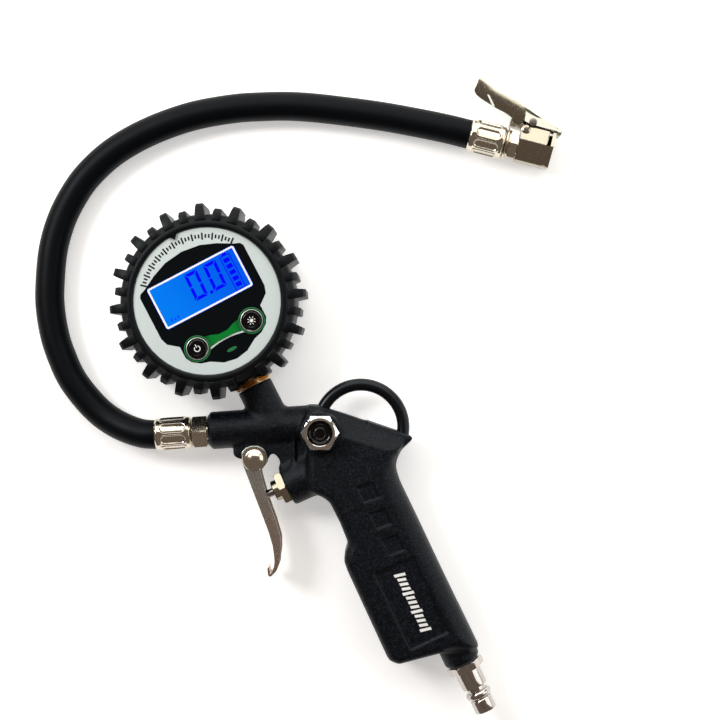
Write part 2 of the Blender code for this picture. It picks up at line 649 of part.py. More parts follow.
def make_face():
    """Printed face plate, dark panel, button surround, window and buttons."""
    roll = Matrix.Rotation(GAUGE_ROLL, 4, "Z")
    up = (0.0, 0.0, 1.0)
    disc = arc((0.0, 0.0), 30.4, 0.0, 352.5, 48)
    mask = mask_outline()
    grown = [(u * 1.006, v * 1.006) for u, v in mask]
    finish(prism("face_plate", [disc, grown], 32.9, FACE_Z, frame=roll), (0.62, 0.65, 0.64), 0.6, 0.4)
    panel = prism("face_panel", [mask, rounded_box(40.3, 18.8, 1.0, (0.0, WINDOW_V))],
                  32.9, FACE_Z, frame=roll)
    for name, u in (("power", -BUTTON_U), ("light", BUTTON_U)):
        spot = (*face_point(u, BUTTON_V), 0.0)
        cut(panel, cylinder(f"{name}_panel_hole", spot, up, 30.0, 36.0, 4.3, 24))
    finish(panel, (0.012, 0.012, 0.013), 0.0, 0.3)
    ring = prism("button_surround", [arc((-BUTTON_U, BUTTON_V), 5.5, 35.0, 325.0, 16)
                                     + [(-5.6, -17.5), (5.6, -17.5)]
                                     + arc((BUTTON_U, BUTTON_V), 5.5, -145.0, 145.0, 16)
                                     + [(5.6, -14.5), (-5.6, -14.5)]],
                 FACE_Z + 0.05, FACE_Z + 0.35, frame=roll)
    for name, u in (("power", -BUTTON_U), ("light", BUTTON_U)):
        spot = (*face_point(u, BUTTON_V), 0.0)
        cut(ring, cylinder(f"{name}_ring_hole", spot, up, 30.0, 36.0, 4.35, 28))
    finish(ring, (0.02, 0.22, 0.07), 0.0, 0.35)
    window = prism("lcd_window", [rounded_box(40.0, 18.5, 0.9, (0.0, WINDOW_V))], 31.4, 33.25, frame=roll)
    finish(window, (0.02, 0.25, 0.9), 0.0, 0.1)
    for name, u in (("power_button", -BUTTON_U), ("light_button", BUTTON_U)):
        spot = (*face_point(u, BUTTON_V), 0.0)
        button = lathe(name, [
            (0.0, 34.3), (3.1, 34.25), (3.8, 34.0), (4.05, 33.6), (4.05, 30.9), (4.8, 30.9),
            (4.8, 30.1), (1.6, 30.0), (1.6, 26.6), (0.0, 26.6),
        ], spot, up, 24)
        set_origin(button, spot)
        finish(button, (0.015, 0.015, 0.016), 0.0, 0.45)


def make_gauge_inside():
    """Board, display, switches, sensor, stem and batteries."""
    roll = Matrix.Rotation(GAUGE_ROLL, 4, "Z")
    up = (0.0, 0.0, 1.0)
    board = cylinder("circuit_board", (0.0, 0.0, 0.0), up, 19.7, 21.2, 29.2, 40)
    finish(board, (0.01, 0.14, 0.05), 0.0, 0.4)
    lcd = prism("lcd_panel", [rounded_box(43.6, 22.0, 0.5, (0.0, WINDOW_V))], 28.4, 31.1, frame=roll)
    finish(lcd, (0.02, 0.2, 0.85), 0.0, 0.2)
    frame_outer = rounded_box(43.6, 22.0, 0.5, (0.0, WINDOW_V))
    frame_inner = rounded_box(40.4, 18.8, 0.5, (0.0, WINDOW_V))
    carrier = prism("lcd_carrier", [frame_outer, frame_inner], 21.4, 28.2, frame=roll)
    finish(carrier, (0.8, 0.8, 0.8), 0.0, 0.5)
    for name, u in (("power_switch", -BUTTON_U), ("light_switch", BUTTON_U)):
        body = block(name, (u - 3.0, BUTTON_V - 3.0, 21.35), (u + 3.0, BUTTON_V + 3.0, 25.0), frame=roll)
        spot = (*face_point(u, BUTTON_V), 0.0)
        join(body, cylinder(f"{name}_plunger", spot, up, 24.0, 25.9, 1.6, 16))
        finish(body, (0.05, 0.05, 0.05), 0.2, 0.4)
    centre = (0.0, 0.0, MID_Z)
    sensor = lathe("pressure_sensor", [
        (1.0, 26.2), (5.6, 26.2), (5.6, 19.0), (1.0, 19.0),
    ], centre, GAUGE_DIR, 24, closed=True)
    finish(sensor, STEEL, 0.9, 0.3)
    stem = lathe("gauge_stem", [
        (1.5, 47.6), (4.4, 47.6), (4.4, 39.4), (5.6, 39.3), (5.6, 28.7), (6.5, 28.6),
        (6.5, 26.5), (1.5, 26.5),
    ], centre, GAUGE_DIR, 24, closed=True)
    nut = hexagon("stem_hex", centre, GAUGE_DIR, 36.9, 39.4, 14.2, roll=math.radians(12))
    cut(nut, cylinder("stem_hex_bore", centre, GAUGE_DIR, 35.0, 41.0, 4.0, 24))
    join(stem, nut)
    finish(stem, BRASS, 1.0, 0.25)
    tray_outer = rounded_box(49.2, 23.8, 0.8, (0.0, 1.5))
    tray = prism("battery_tray", [tray_outer], 4.2, 16.4, frame=roll)
    cut(tray, prism("tray_bay", [rounded_box(47.2, 22.4, 0.5, (0.0, 1.5))], 2.0, 15.4, frame=roll))
    finish(tray, (0.04, 0.04, 0.042), 0.0, 0.5)
    for name, v, sign in (("battery_a", -4.1, 1.0), ("battery_b", 7.1, -1.0)):
        axis = (*face_point(sign, 0.0), 0.0)
        spot = (*face_point(0.0, v), 9.2)
        cell = lathe(name, [
            (0.0, 22.2), (1.9, 22.2), (1.9, 21.4), (4.6, 21.3), (5.2, 20.8), (5.2, -21.8),
            (4.8, -22.2), (0.0, -22.2),
        ], spot, axis, 24)
        finish(cell, (0.06, 0.16, 0.10), 0.3, 0.35)
    link = block("contact_link", (-23.3, -7.0, 5.0), (-22.8, 10.0, 13.0), frame=roll)
    finish(link, STEEL, 1.0, 0.3)
    for name, v in (("contact_a", -4.1), ("contact_b", 7.1)):
        plate = block(name, (22.8, v - 3.5, 5.0), (23.3, v + 3.5, 13.0), frame=roll)
        finish(plate, STEEL, 1.0, 0.3)


def lug_mesh(name, angle, reach, offset):
    """One rib of the boot as a wedge that wraps its shoulder."""
    section = [
        (34.6, 33.3), (reach - 2.4, 32.2), (reach, 28.4), (reach, 5.0), (reach - 2.2, 1.6),
        (34.6, 1.2),
    ]
    turn = Matrix.Rotation(math.radians(angle), 4, "Z")
    stand = Matrix(((1, 0, 0, 0), (0, 0, -1, 0), (0, 1, 0, 0), (0, 0, 0, 1)))
    return prism(name, [section], -offset, offset, frame=turn @ stand)


def make_boot():
    """Rubber boot with alternating long and short lugs."""
    up = (0.0, 0.0, 1.0)
    boot = lathe("gauge_boot", [
        (30.7, 34.0), (31.3, 34.6), (33.0, 34.6), (35.4, 33.2), (BOOT_RADIUS, 30.4),
        (BOOT_RADIUS, 2.0), (35.4, 0.2), (34.6, 0.0), (29.0, 0.0), (29.0, 1.5), (32.3, 1.5),
        (32.3, 33.0), (30.7, 33.0),
    ], (0.0, 0.0, 0.0), up, 56, closed=True)
    for i in range(2 * LONG_LUGS):
        if i == 0:
            continue
        angle = STEM_ANGLE + 180.0 / LONG_LUGS * i
        reach = LUG_RADIUS if i % 2 == 0 else 38.6
        join(boot, lug_mesh(f"lug_{i:02d}", angle, reach, 1.45))
    tab = ((30.9, -2.2), (28.6, 0.0), (30.9, 2.2))
    turn = Matrix.Rotation(GAUGE_ROLL + math.pi / 2.0, 4, "Z")
    join(boot, prism("index_tab", [tab], 33.45, 34.5, frame=turn))
    cut(
        boot,
        cylinder("boot_stem_hole", (0.0, 0.0, MID_Z), GAUGE_DIR, 28.0, 44.0, 6.6, 28),
        cylinder("boot_hex_room", (0.0, 0.0, MID_Z), GAUGE_DIR, 36.7, 44.0, 8.6, 28),
    )
    finish(boot, RUBBER, 0.0, 0.6)


def make_chuck():
    """Clip-on tyre chuck: ferrule, neck, body, seal, pin, spring and lever."""
    frame = Matrix.Translation(Vector(CHUCK_AT)) @ Matrix.Rotation(CHUCK_TILT, 4, "Z")
    ferrule = lathe("front_ferrule", [
        (3.3, 15.4), (6.2, 15.4), (7.15, 14.6), (7.15, 1.0), (6.9, 0.0), (6.34, 0.0),
        (6.34, 14.3), (3.3, 14.3),
    ], CHUCK_AT, CHUCK_DIR, 24, closed=True)
    finish(ferrule, NICKEL, 0.9, 0.3)
    neck = lathe("chuck_neck", [
        (1.7, 25.2), (3.9, 25.2), (3.9, 21.0), (4.6, 20.6), (4.6, 17.6), (6.1, 17.3),
        (6.1, 16.7), (5.6, 16.5), (6.7, 16.3), (6.7, 15.7), (2.9, 15.6), (3.05, 12.0),
        (2.75, 11.6), (3.05, 8.0), (2.75, 7.6), (3.05, 4.0), (1.7, 2.0),
    ], CHUCK_AT, CHUCK_DIR, 24, closed=True)
    nut = hexagon("neck_hex", CHUCK_AT, CHUCK_DIR, 17.4, 20.8, 11.3, roll=math.radians(90))
    cut(nut, cylinder("neck_hex_bore", CHUCK_AT, CHUCK_DIR, 15.0, 23.0, 3.8, 20))
    join(neck, nut)
    finish(neck, NICKEL, 0.9, 0.25)
    section = [
        (9.3, -4.6), (9.3, 4.6), (8.6, 5.7), (0.6, 6.6), (-4.8, 3.8), (-6.4, 1.6), (-6.4, -1.6),
        (-4.8, -3.8), (0.6, -6.6), (8.6, -5.7),
    ]
    stand = frame @ Matrix(((0, 0, 1, 0), (1, 0, 0, 0), (0, 1, 0, 0), (0, 0, 0, 1)))
    body = prism("chuck_body", [section], 21.1, 35.8, frame=stand)
    px, py = LEVER_PIVOT
    ear = [(22.0, 8.6), (22.6, py), *arc(LEVER_PIVOT, 2.3, 180.0, 0.0, 9), (28.4, 8.6)]
    lug = [(15.6, 7.4), (15.6, 10.6), (20.4, 10.6), (21.6, 9.2), (22.4, 8.4), (22.4, 7.4)]
    join(body, prism("hinge_ear", [ear], -2.6, 2.6, frame=frame))
    join(body, prism("spring_lug", [lug], -2.6, 2.6, frame=frame))
    cut(
        body,
        cylinder("chuck_bore", CHUCK_AT, CHUCK_DIR, 20.0, 38.0, 4.2, 28),
        prism("claw_slot", [((31.2, 2.0), (34.5, 2.0), (34.5, 11.0), (31.2, 11.0))], -8.0, 8.0, frame=frame),
        cylinder("ear_hole", chuck_point(px, py), (0.0, 0.0, 1.0), -5.0, 5.0, 1.15, 16),
    )
    finish(body, NICKEL, 0.9, 0.25)
    seal = lathe("chuck_seal", [
        (2.4, 30.4), (4.05, 30.4), (4.05, 25.5), (2.4, 25.5),
    ], CHUCK_AT, CHUCK_DIR, 24, closed=True)
    finish(seal, RUBBER, 0.0, 0.6)
    pin = lathe("core_pin", [
        (0.0, 29.4), (0.8, 29.2), (0.8, 24.6), (1.5, 24.4), (1.5, 23.4), (0.0, 23.4),
    ], CHUCK_AT, CHUCK_DIR, 16)
    finish(pin, BRASS, 1.0, 0.3)
    hinge = lathe("lever_pin", [
        (0.0, 5.9), (1.4, 5.8), (1.7, 5.35), (1.7, 5.15), (1.0, 5.1), (1.0, -5.1), (1.7, -5.15),
        (1.7, -5.35), (1.4, -5.8), (0.0, -5.9),
    ], chuck_point(px, py), (0.0, 0.0, 1.0), 16)
    finish(hinge, STEEL, 0.9, 0.3)
    spring = coil("lever_spring", chuck_point(17.8, 10.7), CHUCK_SIDE, 1.9, 0.3, 4, 5.7)
    finish(spring, STEEL, 1.0, 0.3)
    outer = [
        (-1.0, 24.2), (5.2, 20.9), (10.0, 19.6), (14.7, 18.6), (19.8, 17.6), (23.7, 15.6),
        (28.9, 13.7), (33.8, 11.9), (38.2, 10.3), (37.6, 8.2), (36.3, 8.8), (36.1, 9.7),
        (30.6, 9.7), (23.9, 9.9), (21.2, 10.7), (18.2, 12.1), (15.0, 13.4), (11.2, 14.1),
        (8.9, 14.8),
        (5.4, 16.6), (-0.6, 19.4),
    ]
    inner = [
        (-3.0, 19.0), (-1.2, 22.9), (5.0, 19.7), (9.8, 18.4), (14.5, 17.4), (19.4, 16.4),
        (23.3, 14.5), (28.5, 12.6), (31.6, 11.4), (31.6, 6.0), (12.0, 6.0), (0.0, 12.0),
    ]
    lever = prism("chuck_lever", [outer], -5.0, 5.0, frame=frame)
    cut(lever, prism("lever_channel", [inner], -3.9, 3.9, frame=frame))
    cut(lever, cylinder("lever_eye", chuck_point(px, py), (0.0, 0.0, 1.0), -8.0, 8.0, 1.2, 16))
    tooth = [(31.5, 12.0), (32.7, 11.8), (32.7, 4.0), (32.3, 3.3), (31.5, 3.9)]
    join(lever, prism("claw", [tooth], -3.2, 3.2, frame=frame))
    set_origin(lever, chuck_point(px, py))
    finish(lever, NICKEL, 0.9, 0.3)


def main():
    """Make every sub-part."""
    make_gun_body()
    make_hanging_loop()
    make_hose_fitting()
    make_hose()
    make_inlet()
    make_valve()
    make_side_port()
    make_trigger()
    make_case()
    make_face()
    make_gauge_inside()
    make_boot()
    make_chuck()


main()
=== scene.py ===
"""Studio scene of a tyre inflator with a digital gauge, lying flat on a pale table.

Sizes are written in millimetres and scaled to metres as each piece is handed over.
The frame is the CAD model's: the gauge's back is centred on the origin, +Z points
out of its face, and the tool rests on the plane z = 0.
"""

from __future__ import annotations

import logging
import math
from dataclasses import dataclass, field
from enum import Enum
from typing import Iterable, Optional, Sequence, Union

import bmesh
import bpy
import numpy as np
from mathutils import Matrix, Vector
from mathutils.geometry import tessellate_polygon


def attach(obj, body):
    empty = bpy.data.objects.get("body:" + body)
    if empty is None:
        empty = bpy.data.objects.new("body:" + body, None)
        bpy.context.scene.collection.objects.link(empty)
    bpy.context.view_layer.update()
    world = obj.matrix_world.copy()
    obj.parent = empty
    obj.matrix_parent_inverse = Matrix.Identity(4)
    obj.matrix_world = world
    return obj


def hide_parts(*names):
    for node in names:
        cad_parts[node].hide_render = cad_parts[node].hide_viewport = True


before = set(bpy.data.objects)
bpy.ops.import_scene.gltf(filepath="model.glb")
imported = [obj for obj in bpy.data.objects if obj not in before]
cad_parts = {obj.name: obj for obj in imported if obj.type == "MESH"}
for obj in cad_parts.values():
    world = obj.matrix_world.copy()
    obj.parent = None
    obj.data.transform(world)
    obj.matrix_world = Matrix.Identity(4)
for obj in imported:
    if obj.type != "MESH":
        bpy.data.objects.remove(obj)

MM = 0.001
MID_Z = 12.5  # height of the casting's middle plane
UP = (0.0, 0.0, 1.0)
CENTRE = (0.0, 0.0, MID_Z)
LOOP_CENTRE = (63.5, -52.9)
LOOP_RADIUS = 18.1
LOG = logging.getLogger("inflator")

Colour = tuple[float, float, float]
Spot = tuple[float, float]
Place = Sequence[float]


# Shader building ---------------------------------------------------------------


class Wire:
    """An output socket that takes part in sums."""

    def __init__(self, paint: "Paint", socket: bpy.types.NodeSocket) -> None:
        """Keeps the socket and the paint that it belongs to."""
        self.paint = paint
        self.socket = socket

    def _math(self, operation: str, first: "Term", second: "Term" = 0.0) -> "Wire":
        """Adds one Math node.

        Args:
            operation: The Math node's operation.
            first: Its first value.
            second: Its second value.

        Returns:
            The result.
        """
        return self.paint.add("ShaderNodeMath", {"operation": operation}, {0: first, 1: second})

    def __add__(self, other: "Term") -> "Wire":
        """Returns self + other."""
        return self._math("ADD", self, other)

    def __radd__(self, other: "Term") -> "Wire":
        """Returns other + self."""
        return self._math("ADD", other, self)

    def __sub__(self, other: "Term") -> "Wire":
        """Returns self - other."""
        return self._math("SUBTRACT", self, other)

    def __rsub__(self, other: "Term") -> "Wire":
        """Returns other - self."""
        return self._math("SUBTRACT", other, self)

    def __mul__(self, other: "Term") -> "Wire":
        """Returns self * other."""
        return self._math("MULTIPLY", self, other)

    def __rmul__(self, other: "Term") -> "Wire":
        """Returns other * self."""
        return self._math("MULTIPLY", other, self)

    def above(self, edge: float, soft: float) -> "Wire":
        """Rises from 0 to 1 across an edge.

        Args:
            edge: The middle of the rise.
            soft: The width of the rise.

        Returns:
            A mask.
        """
        return self.paint.add(
            "ShaderNodeMapRange",
            {"interpolation_type": "SMOOTHSTEP"},
            {0: self, 1: edge - soft / 2.0, 2: edge + soft / 2.0, 3: 0.0, 4: 1.0},
        )


Term = Union[Wire, float, Sequence[float]]


class Paint:
    """One material and the nodes that drive it."""

    def __init__(self, name: str) -> None:
        """Makes the material with its Principled shader.

        Args:
            name: The material's name.
        """
        self.material = bpy.data.materials.new(name)
        self.material.use_nodes = True
        self.nodes = self.material.node_tree.nodes
        self.shader = self.nodes["Principled BSDF"]

    def add(
        self,
        kind: str,
        settings: dict[str, object],
        values: dict[Union[str, int], Term],
        output: Union[str, int] = 0,
    ) -> Wire:
        """Adds one node, with its settings before its sockets.

        Args:
            kind: The node's type.
            settings: Its properties; "stops" is a colour ramp's list of (place, colour).
            values: A number, colour or wire for each socket.
            output: The output that is handed back.

        Returns:
            The chosen output.
        """
        node = self.nodes.new(kind)
        for key, value in settings.items():
            if key == "stops":
                ramp = node.color_ramp
                for (place, shade), stop in zip(value, list(ramp.elements) + [None] * len(value)):
                    stop = stop or ramp.elements.new(place)
                    stop.position = place
                    stop.color = (*shade, 1.0)
            else:
                setattr(node, key, value)
        for key, value in values.items():
            self.feed(node.inputs[key], value)
        return Wire(self, node.outputs[output])

    def feed(self, socket: bpy.types.NodeSocket, value: Term) -> None:
        """Links a wire to a socket, or sets the socket to a number or colour.

        Args:
            socket: The socket.
            value: The wire, number or colour.
        """
        if isinstance(value, Wire):
            self.material.node_tree.links.new(value.socket, socket)
        elif isinstance(value, (int, float)):
            socket.default_value = value
        else:
            socket.default_value = (*value, 1.0) if socket.type == "RGBA" else tuple(value)

    def set(self, **values: Term) -> None:
        """Feeds the shader's sockets, named with underscores for spaces."""
        for key, value in values.items():
            self.feed(self.shader.inputs[key.replace("_", " ")], value)

    def spot(self) -> Wire:
        """Returns the place on the piece in metres."""
        return self.add("ShaderNodeTexCoord", {}, {}, "Object")

    def axis(self, place: Wire, letter: str) -> Wire:
        """Returns one coordinate of a place."""
        return self.add("ShaderNodeSeparateXYZ", {}, {0: place}, letter)

    def noise(self, place: Wire, per_mm: float, detail: float = 2.0, rough: float = 0.5) -> Wire:
        """Adds cloudy noise.

        Args:
            place: Where it is read.
            per_mm: How many blobs to a millimetre.
            detail: How many finer layers.
            rough: How strong the finer layers are.

        Returns:
            A value round 0.5.
        """
        return self.add(
            "ShaderNodeTexNoise",
            {"noise_dimensions": "3D"},
            {"Vector": place, "Scale": per_mm / MM, "Detail": detail, "Roughness": rough},
        )

    def stretch(self, place: Wire, turn: float, along: float, across: float) -> Wire:
        """Stretches the coordinates along a direction in the table's plane.

        Args:
            place: The coordinates.
            turn: The direction in degrees from +X.
            along: The scale along it.
            across: The scale across it.

        Returns:
            The stretched coordinates.
        """
        return self.add(
            "ShaderNodeMapping",
            {"vector_type": "TEXTURE"},
            {
                "Vector": place,
                "Rotation": (0.0, 0.0, math.radians(turn)),
                "Scale": (1.0 / along, 1.0 / across, 1.0 / across),
            },
        )

    def blend(self, mask: Term, low: Term, high: Term) -> Wire:
        """Mixes two colours.

        Args:
            mask: 0 for the first and 1 for the second.
            low: The first colour.
            high: The second colour.

        Returns:
            The mixed colour.
        """
        return self.add(
            "ShaderNodeMix", {"data_type": "RGBA"}, {0: mask, 6: low, 7: high}, 2
        )

    def relief(self, height: Wire, depth: float, strength: float = 1.0) -> Wire:
        """Adds a Bump node.

        Args:
            height: The height from 0 to 1.
            depth: What 1 stands for, in millimetres.
            strength: How much of it shows.

        Returns:
            The normal.
        """
        return self.add(
            "ShaderNodeBump", {}, {"Strength": strength, "Distance": depth * MM, "Height": height}
        )


class Grain(Enum):
    """How a metal was worked."""

    PLATED = "plated"
    TURNED = "turned"
    DRAWN = "drawn"


@dataclass(frozen=True)
class Finish:
    """A surface finish; make() gives its material."""

    name: str
    colour: Colour
    shine: float = field(default=0.5, kw_only=True)

    def make(self) -> bpy.types.Material:
        """Returns the material, made once for each finish."""
        found = bpy.data.materials.get(self.name)
        if found is None:
            paint = Paint(self.name)
            paint.shader.inputs["Specular IOR Level"].default_value = self.shine
            self.dress(paint)
            found = paint.material
        return found

    def dress(self, paint: Paint) -> None:
        """Lays the finish on the shader."""
        raise NotImplementedError


def shade(colour: Colour, times: float) -> Colour:
    """Returns a colour made darker or lighter."""
    return tuple(min(1.0, channel * times) for channel in colour)


@dataclass(frozen=True)
class PowderCoat(Finish):
    """Baked powder coat on a casting, with its orange-peel speckle."""

    def dress(self, paint: Paint) -> None:
        """Lays fine speckle over slow patches of gloss.

        Args:
            paint: The material that it goes on.
        """
        spot = paint.spot()
        fine = paint.noise(spot, 1.9, 2.0, 0.6)
        peel = paint.noise(spot, 0.5, 1.0)
        patch = paint.noise(spot, 0.03)
        flecks = fine.above(0.58, 0.12)
        tone = paint.blend(patch, shade(self.colour, 0.8), shade(self.colour, 1.25))
        paint.set(
            Base_Color=paint.blend(flecks, tone, shade(self.colour, 12.0)),
            Roughness=0.27 + fine * 0.16 + patch * 0.06,
            Normal=paint.relief(fine * 0.8 + peel * 0.4, 0.26, 1.0),
        )
        paint.shader.inputs["Specular Tint"].default_value = (0.84, 0.92, 1.0, 1.0)


@dataclass(frozen=True)
class Rubber(Finish):
    """Moulded black rubber with a dull bloom."""

    roughness: float = 0.6

    def dress(self, paint: Paint) -> None:
        """Lays fine pores and a faint bloom.

        Args:
            paint: The material that it goes on.
        """
        spot = paint.spot()
        pores = paint.noise(spot, 2.2, 3.0, 0.6)
        bloom = paint.noise(spot, 0.07, 3.0).above(0.55, 0.4)
        paint.set(
            Base_Color=paint.blend(bloom * 0.6, self.colour, shade(self.colour, 1.9)),
            Roughness=self.roughness + pores * 0.14 - bloom * 0.05,
            Normal=paint.relief(pores, 0.035, 0.7),
        )
        paint.shader.inputs["Specular Tint"].default_value = (0.82, 0.91, 1.0, 1.0)


@dataclass(frozen=True)
class Metal(Finish):
    """Bare or plated metal."""

    roughness: float = 0.16
    grain: Grain = Grain.PLATED
    turn: float = 0.0
    wave: float = 0.05
    # Colour of painted shade on the piece's lower part, or None.
    painted_shade: Optional[Colour] = None

    def dress(self, paint: Paint) -> None:
        """Lays plating waves, tool lines or drawn scratches, a little tarnish and any painted
        shade.

        Args:
            paint: The material that it goes on.
        """
        spot = paint.spot()
        waves = paint.noise(spot, 0.22, 2.0)
        speck = paint.noise(spot, 1.6, 2.0)
        if self.grain is Grain.PLATED:
            lines = paint.noise(spot, 0.9, 1.0)
            depth = self.wave
        else:
            finer = 3.2 if self.grain is Grain.TURNED else 1.8
            run = paint.stretch(spot, self.turn, finer, 0.08)
            if self.grain is Grain.DRAWN:
                run = paint.stretch(spot, self.turn, 0.08, finer)
            lines = paint.noise(run, 1.0, 2.0)
            depth = self.wave * 0.6
        tarnish = speck.above(0.66, 0.16)
        tone: Term = self.colour
        if self.grain is Grain.DRAWN:
            tone = paint.blend(lines.above(0.5, 0.3) * 0.5, self.colour, shade(self.colour, 0.5))
        # Painted shade: below y = -85 mm the piece takes a browner, darker colour, a painted
        # reflection of the dim surroundings.
        if self.painted_shade:
            height = paint.axis(spot, "Y") + waves * 0.006
            tone = paint.blend(height.above(-0.085, 0.014), self.painted_shade, tone)
        paint.set(
            Base_Color=paint.blend(
                tarnish * 0.5 + waves * 0.12, tone, shade(self.colour, 0.62)
            ),
            Metallic=1.0 - tarnish * 0.1,
            Roughness=self.roughness + lines * 0.1 + tarnish * 0.15 - 0.04,
            Normal=paint.relief(waves * 0.8 + lines * 0.25, depth, 0.8),
        )


@dataclass(frozen=True)
class Plastic(Finish):
    """Moulded plastic, plain or glossy."""

    roughness: float = 0.4
    coat: float = 0.0
    metallic: float = 0.0

    def dress(self, paint: Paint) -> None:
        """Lays a fine spark texture and slow unevenness.

        Args:
            paint: The material that it goes on.
        """
        spot = paint.spot()
        spark = paint.noise(spot, 3.0, 2.0, 0.6)
        slow = paint.noise(spot, 0.09, 2.0)
        paint.set(
            Base_Color=paint.blend(slow, shade(self.colour, 0.86), shade(self.colour, 1.14)),
            Roughness=self.roughness + spark * 0.1 + slow * 0.06 - 0.08,
            Normal=paint.relief(spark, 0.01, 0.5),
            Metallic=self.metallic,
            Coat_Weight=self.coat,
        )


@dataclass(frozen=True)
class Display(Finish):
    """Backlit liquid-crystal glass, brighter at its lower left."""

    far: Colour = (0.0, 0.078, 0.80)

    def dress(self, paint: Paint) -> None:
        """Lays the backlight as emission under a glossy front, brighter towards the lower left.

        Args:
            paint: The material that it goes on.
        """
        spot = paint.spot()
        lower_left_rise = (paint.axis(spot, "X") * -22.0 + paint.axis(spot, "Y") * -14.0 + 0.52).above(
            0.5, 1.3
        )
        cloud = paint.noise(spot, 0.12, 2.0)
        paint.set(
            Base_Color=(0.0, 0.01, 0.03),
            Emission_Color=paint.blend(lower_left_rise * 0.9 + cloud * 0.1, self.far, self.colour),
            Emission_Strength=1.0,
            Roughness=0.08 + cloud * 0.05,
        )


@dataclass(frozen=True)
class Lit(Finish):
    """Crystal segments and printed inks that show against the backlight."""

    glow: float = 1.0

    def dress(self, paint: Paint) -> None:
        """Lays the segment's own colour as emission, uneven by a few percent.

        Args:
            paint: The material that it goes on.
        """
        cloud = paint.noise(paint.spot(), 1.2, 2.0)
        paint.set(
            Base_Color=shade(self.colour, 0.3),
            Emission_Color=paint.blend(cloud, shade(self.colour, 0.92), shade(self.colour, 1.08)),
            Emission_Strength=self.glow,
            Roughness=0.3 + cloud * 0.1,
        )


@dataclass(frozen=True)
class FacePrint(Finish):
    """Silver ink on the face plate."""

    def dress(self, paint: Paint) -> None:
        """Lays fine metal flakes in the ink.

        Args:
            paint: The material that it goes on.
        """
        spot = paint.spot()
        flake = paint.noise(spot, 4.0, 2.0, 0.7)
        slow = paint.noise(spot, 0.05, 2.0)
        paint.set(
            Base_Color=paint.blend(
                flake.above(0.6, 0.3) * 0.4 + slow * 0.2, self.colour, shade(self.colour, 0.82)
            ),
            Metallic=0.12 + flake * 0.1,
            Roughness=0.34 + flake * 0.12,
            Normal=paint.relief(flake, 0.006, 0.5),
        )


@dataclass(frozen=True)
class Table(Finish):
    """Smooth pale laminate, lit from below like a light table."""

    def dress(self, paint: Paint) -> None:
        """Lays a faint unevenness that is too fine to see from above.

        Args:
            paint: The material that it goes on.
        """
        grain = paint.noise(paint.spot(), 0.5, 2.0)
        paint.set(
            Base_Color=paint.blend(grain, shade(self.colour, 0.992), shade(self.colour, 1.008)),
            Roughness=0.75 + grain * 0.1,
            Emission_Color=(1.0, 1.0, 1.0),
            Emission_Strength=0.42,
        )


@dataclass(frozen=True)
class TwoTone(Finish):
    """Green translucent moulding, brighter between its two ends."""

    bright: Colour = (0.0, 0.17, 0.022)

    def dress(self, paint: Paint) -> None:
        """Lays the bright middle over the darker green of the rings.

        Args:
            paint: The material that it goes on.
        """
        spot = paint.spot()
        turn = math.radians(27.5)
        along = paint.axis(spot, "X") * math.cos(turn) + paint.axis(spot, "Y") * math.sin(turn)
        middle = 1.0 - (along * along * (1.0 / 0.0085**2)).above(0.62, 0.8)
        grain = paint.noise(spot, 1.5, 2.0)
        paint.set(
            Base_Color=paint.blend(middle, self.colour, self.bright),
            Roughness=0.22 + grain * 0.1,
            Normal=paint.relief(grain, 0.01, 0.4),
        )


COAT = PowderCoat("powder_coat", (0.0010, 0.0013, 0.0021), shine=0.18)
HOSE_RUBBER = Rubber("hose_rubber", (0.0010, 0.0013, 0.0020), 0.4, shine=0.11)
BOOT_RUBBER = Rubber("boot_rubber", (0.0015, 0.0017, 0.0019), 0.38, shine=0.16)
SEAL_RUBBER = Rubber("seal_rubber", (0.012, 0.012, 0.012), 0.5)
LOOP_COAT = Rubber("loop_coating", (0.0012, 0.0016, 0.0024), 0.24, shine=0.3)
NICKEL = Metal("warm_nickel", (0.74, 0.68, 0.58), 0.13, wave=0.07)
BODY_NICKEL = Metal("body_nickel", (0.46, 0.42, 0.33), 0.17, wave=0.24)
CRIMPED = Metal("crimped_nickel", (0.70, 0.65, 0.55), 0.14, wave=0.12)
# Its lower half is painted a browner shade, a painted reflection of the dim surroundings.
STAMPED = Metal(
    "stamped_nickel", (0.80, 0.82, 0.79), 0.22, Grain.DRAWN, turn=-66.0,
    painted_shade=(0.74, 0.63, 0.56),
)
LEVER_NICKEL = Metal("lever_nickel", (0.46, 0.45, 0.39), 0.17, wave=0.24)
THUMB_STEEL = Metal("thumb_steel", (0.46, 0.43, 0.34), 0.16, wave=0.03)
CHROME = Metal("bright_chrome", (0.82, 0.82, 0.80), 0.07, wave=0.03)
PLUG_CHROME = Metal("plug_chrome", (0.66, 0.62, 0.58), 0.10, Grain.DRAWN, turn=-64.5, wave=0.05)
BRASS = Metal("brass", (0.80, 0.58, 0.32), 0.2, wave=0.015)
STEEL = Metal("spring_steel", (0.60, 0.60, 0.60), 0.2, Grain.TURNED)
DARK_STEEL = Metal("pin_steel", (0.34, 0.32, 0.29), 0.2, Grain.TURNED)
FACE_SILVER = FacePrint("face_silver", (0.62, 0.70, 0.705))
FACE_BLACK = Plastic("face_black", (0.0014, 0.0028, 0.0038), 0.2, shine=0.16)
CASE_GREY = Plastic("case_grey", (0.16, 0.16, 0.165), 0.42)
DOOR_BLACK = Plastic("door_black", (0.012, 0.012, 0.013), 0.5)
BUTTON_BLACK = Plastic("button_black", (0.0015, 0.0015, 0.002), 0.14, coat=0.2, shine=0.2)
PANEL_WHITE = Plastic("window_white", (0.86, 0.88, 0.9), 0.4)
GREEN = TwoTone("surround_green", (0.002, 0.045, 0.009), shine=0.25)
GREEN_LINE = Plastic("green_line", (0.012, 0.15, 0.05), 0.3)
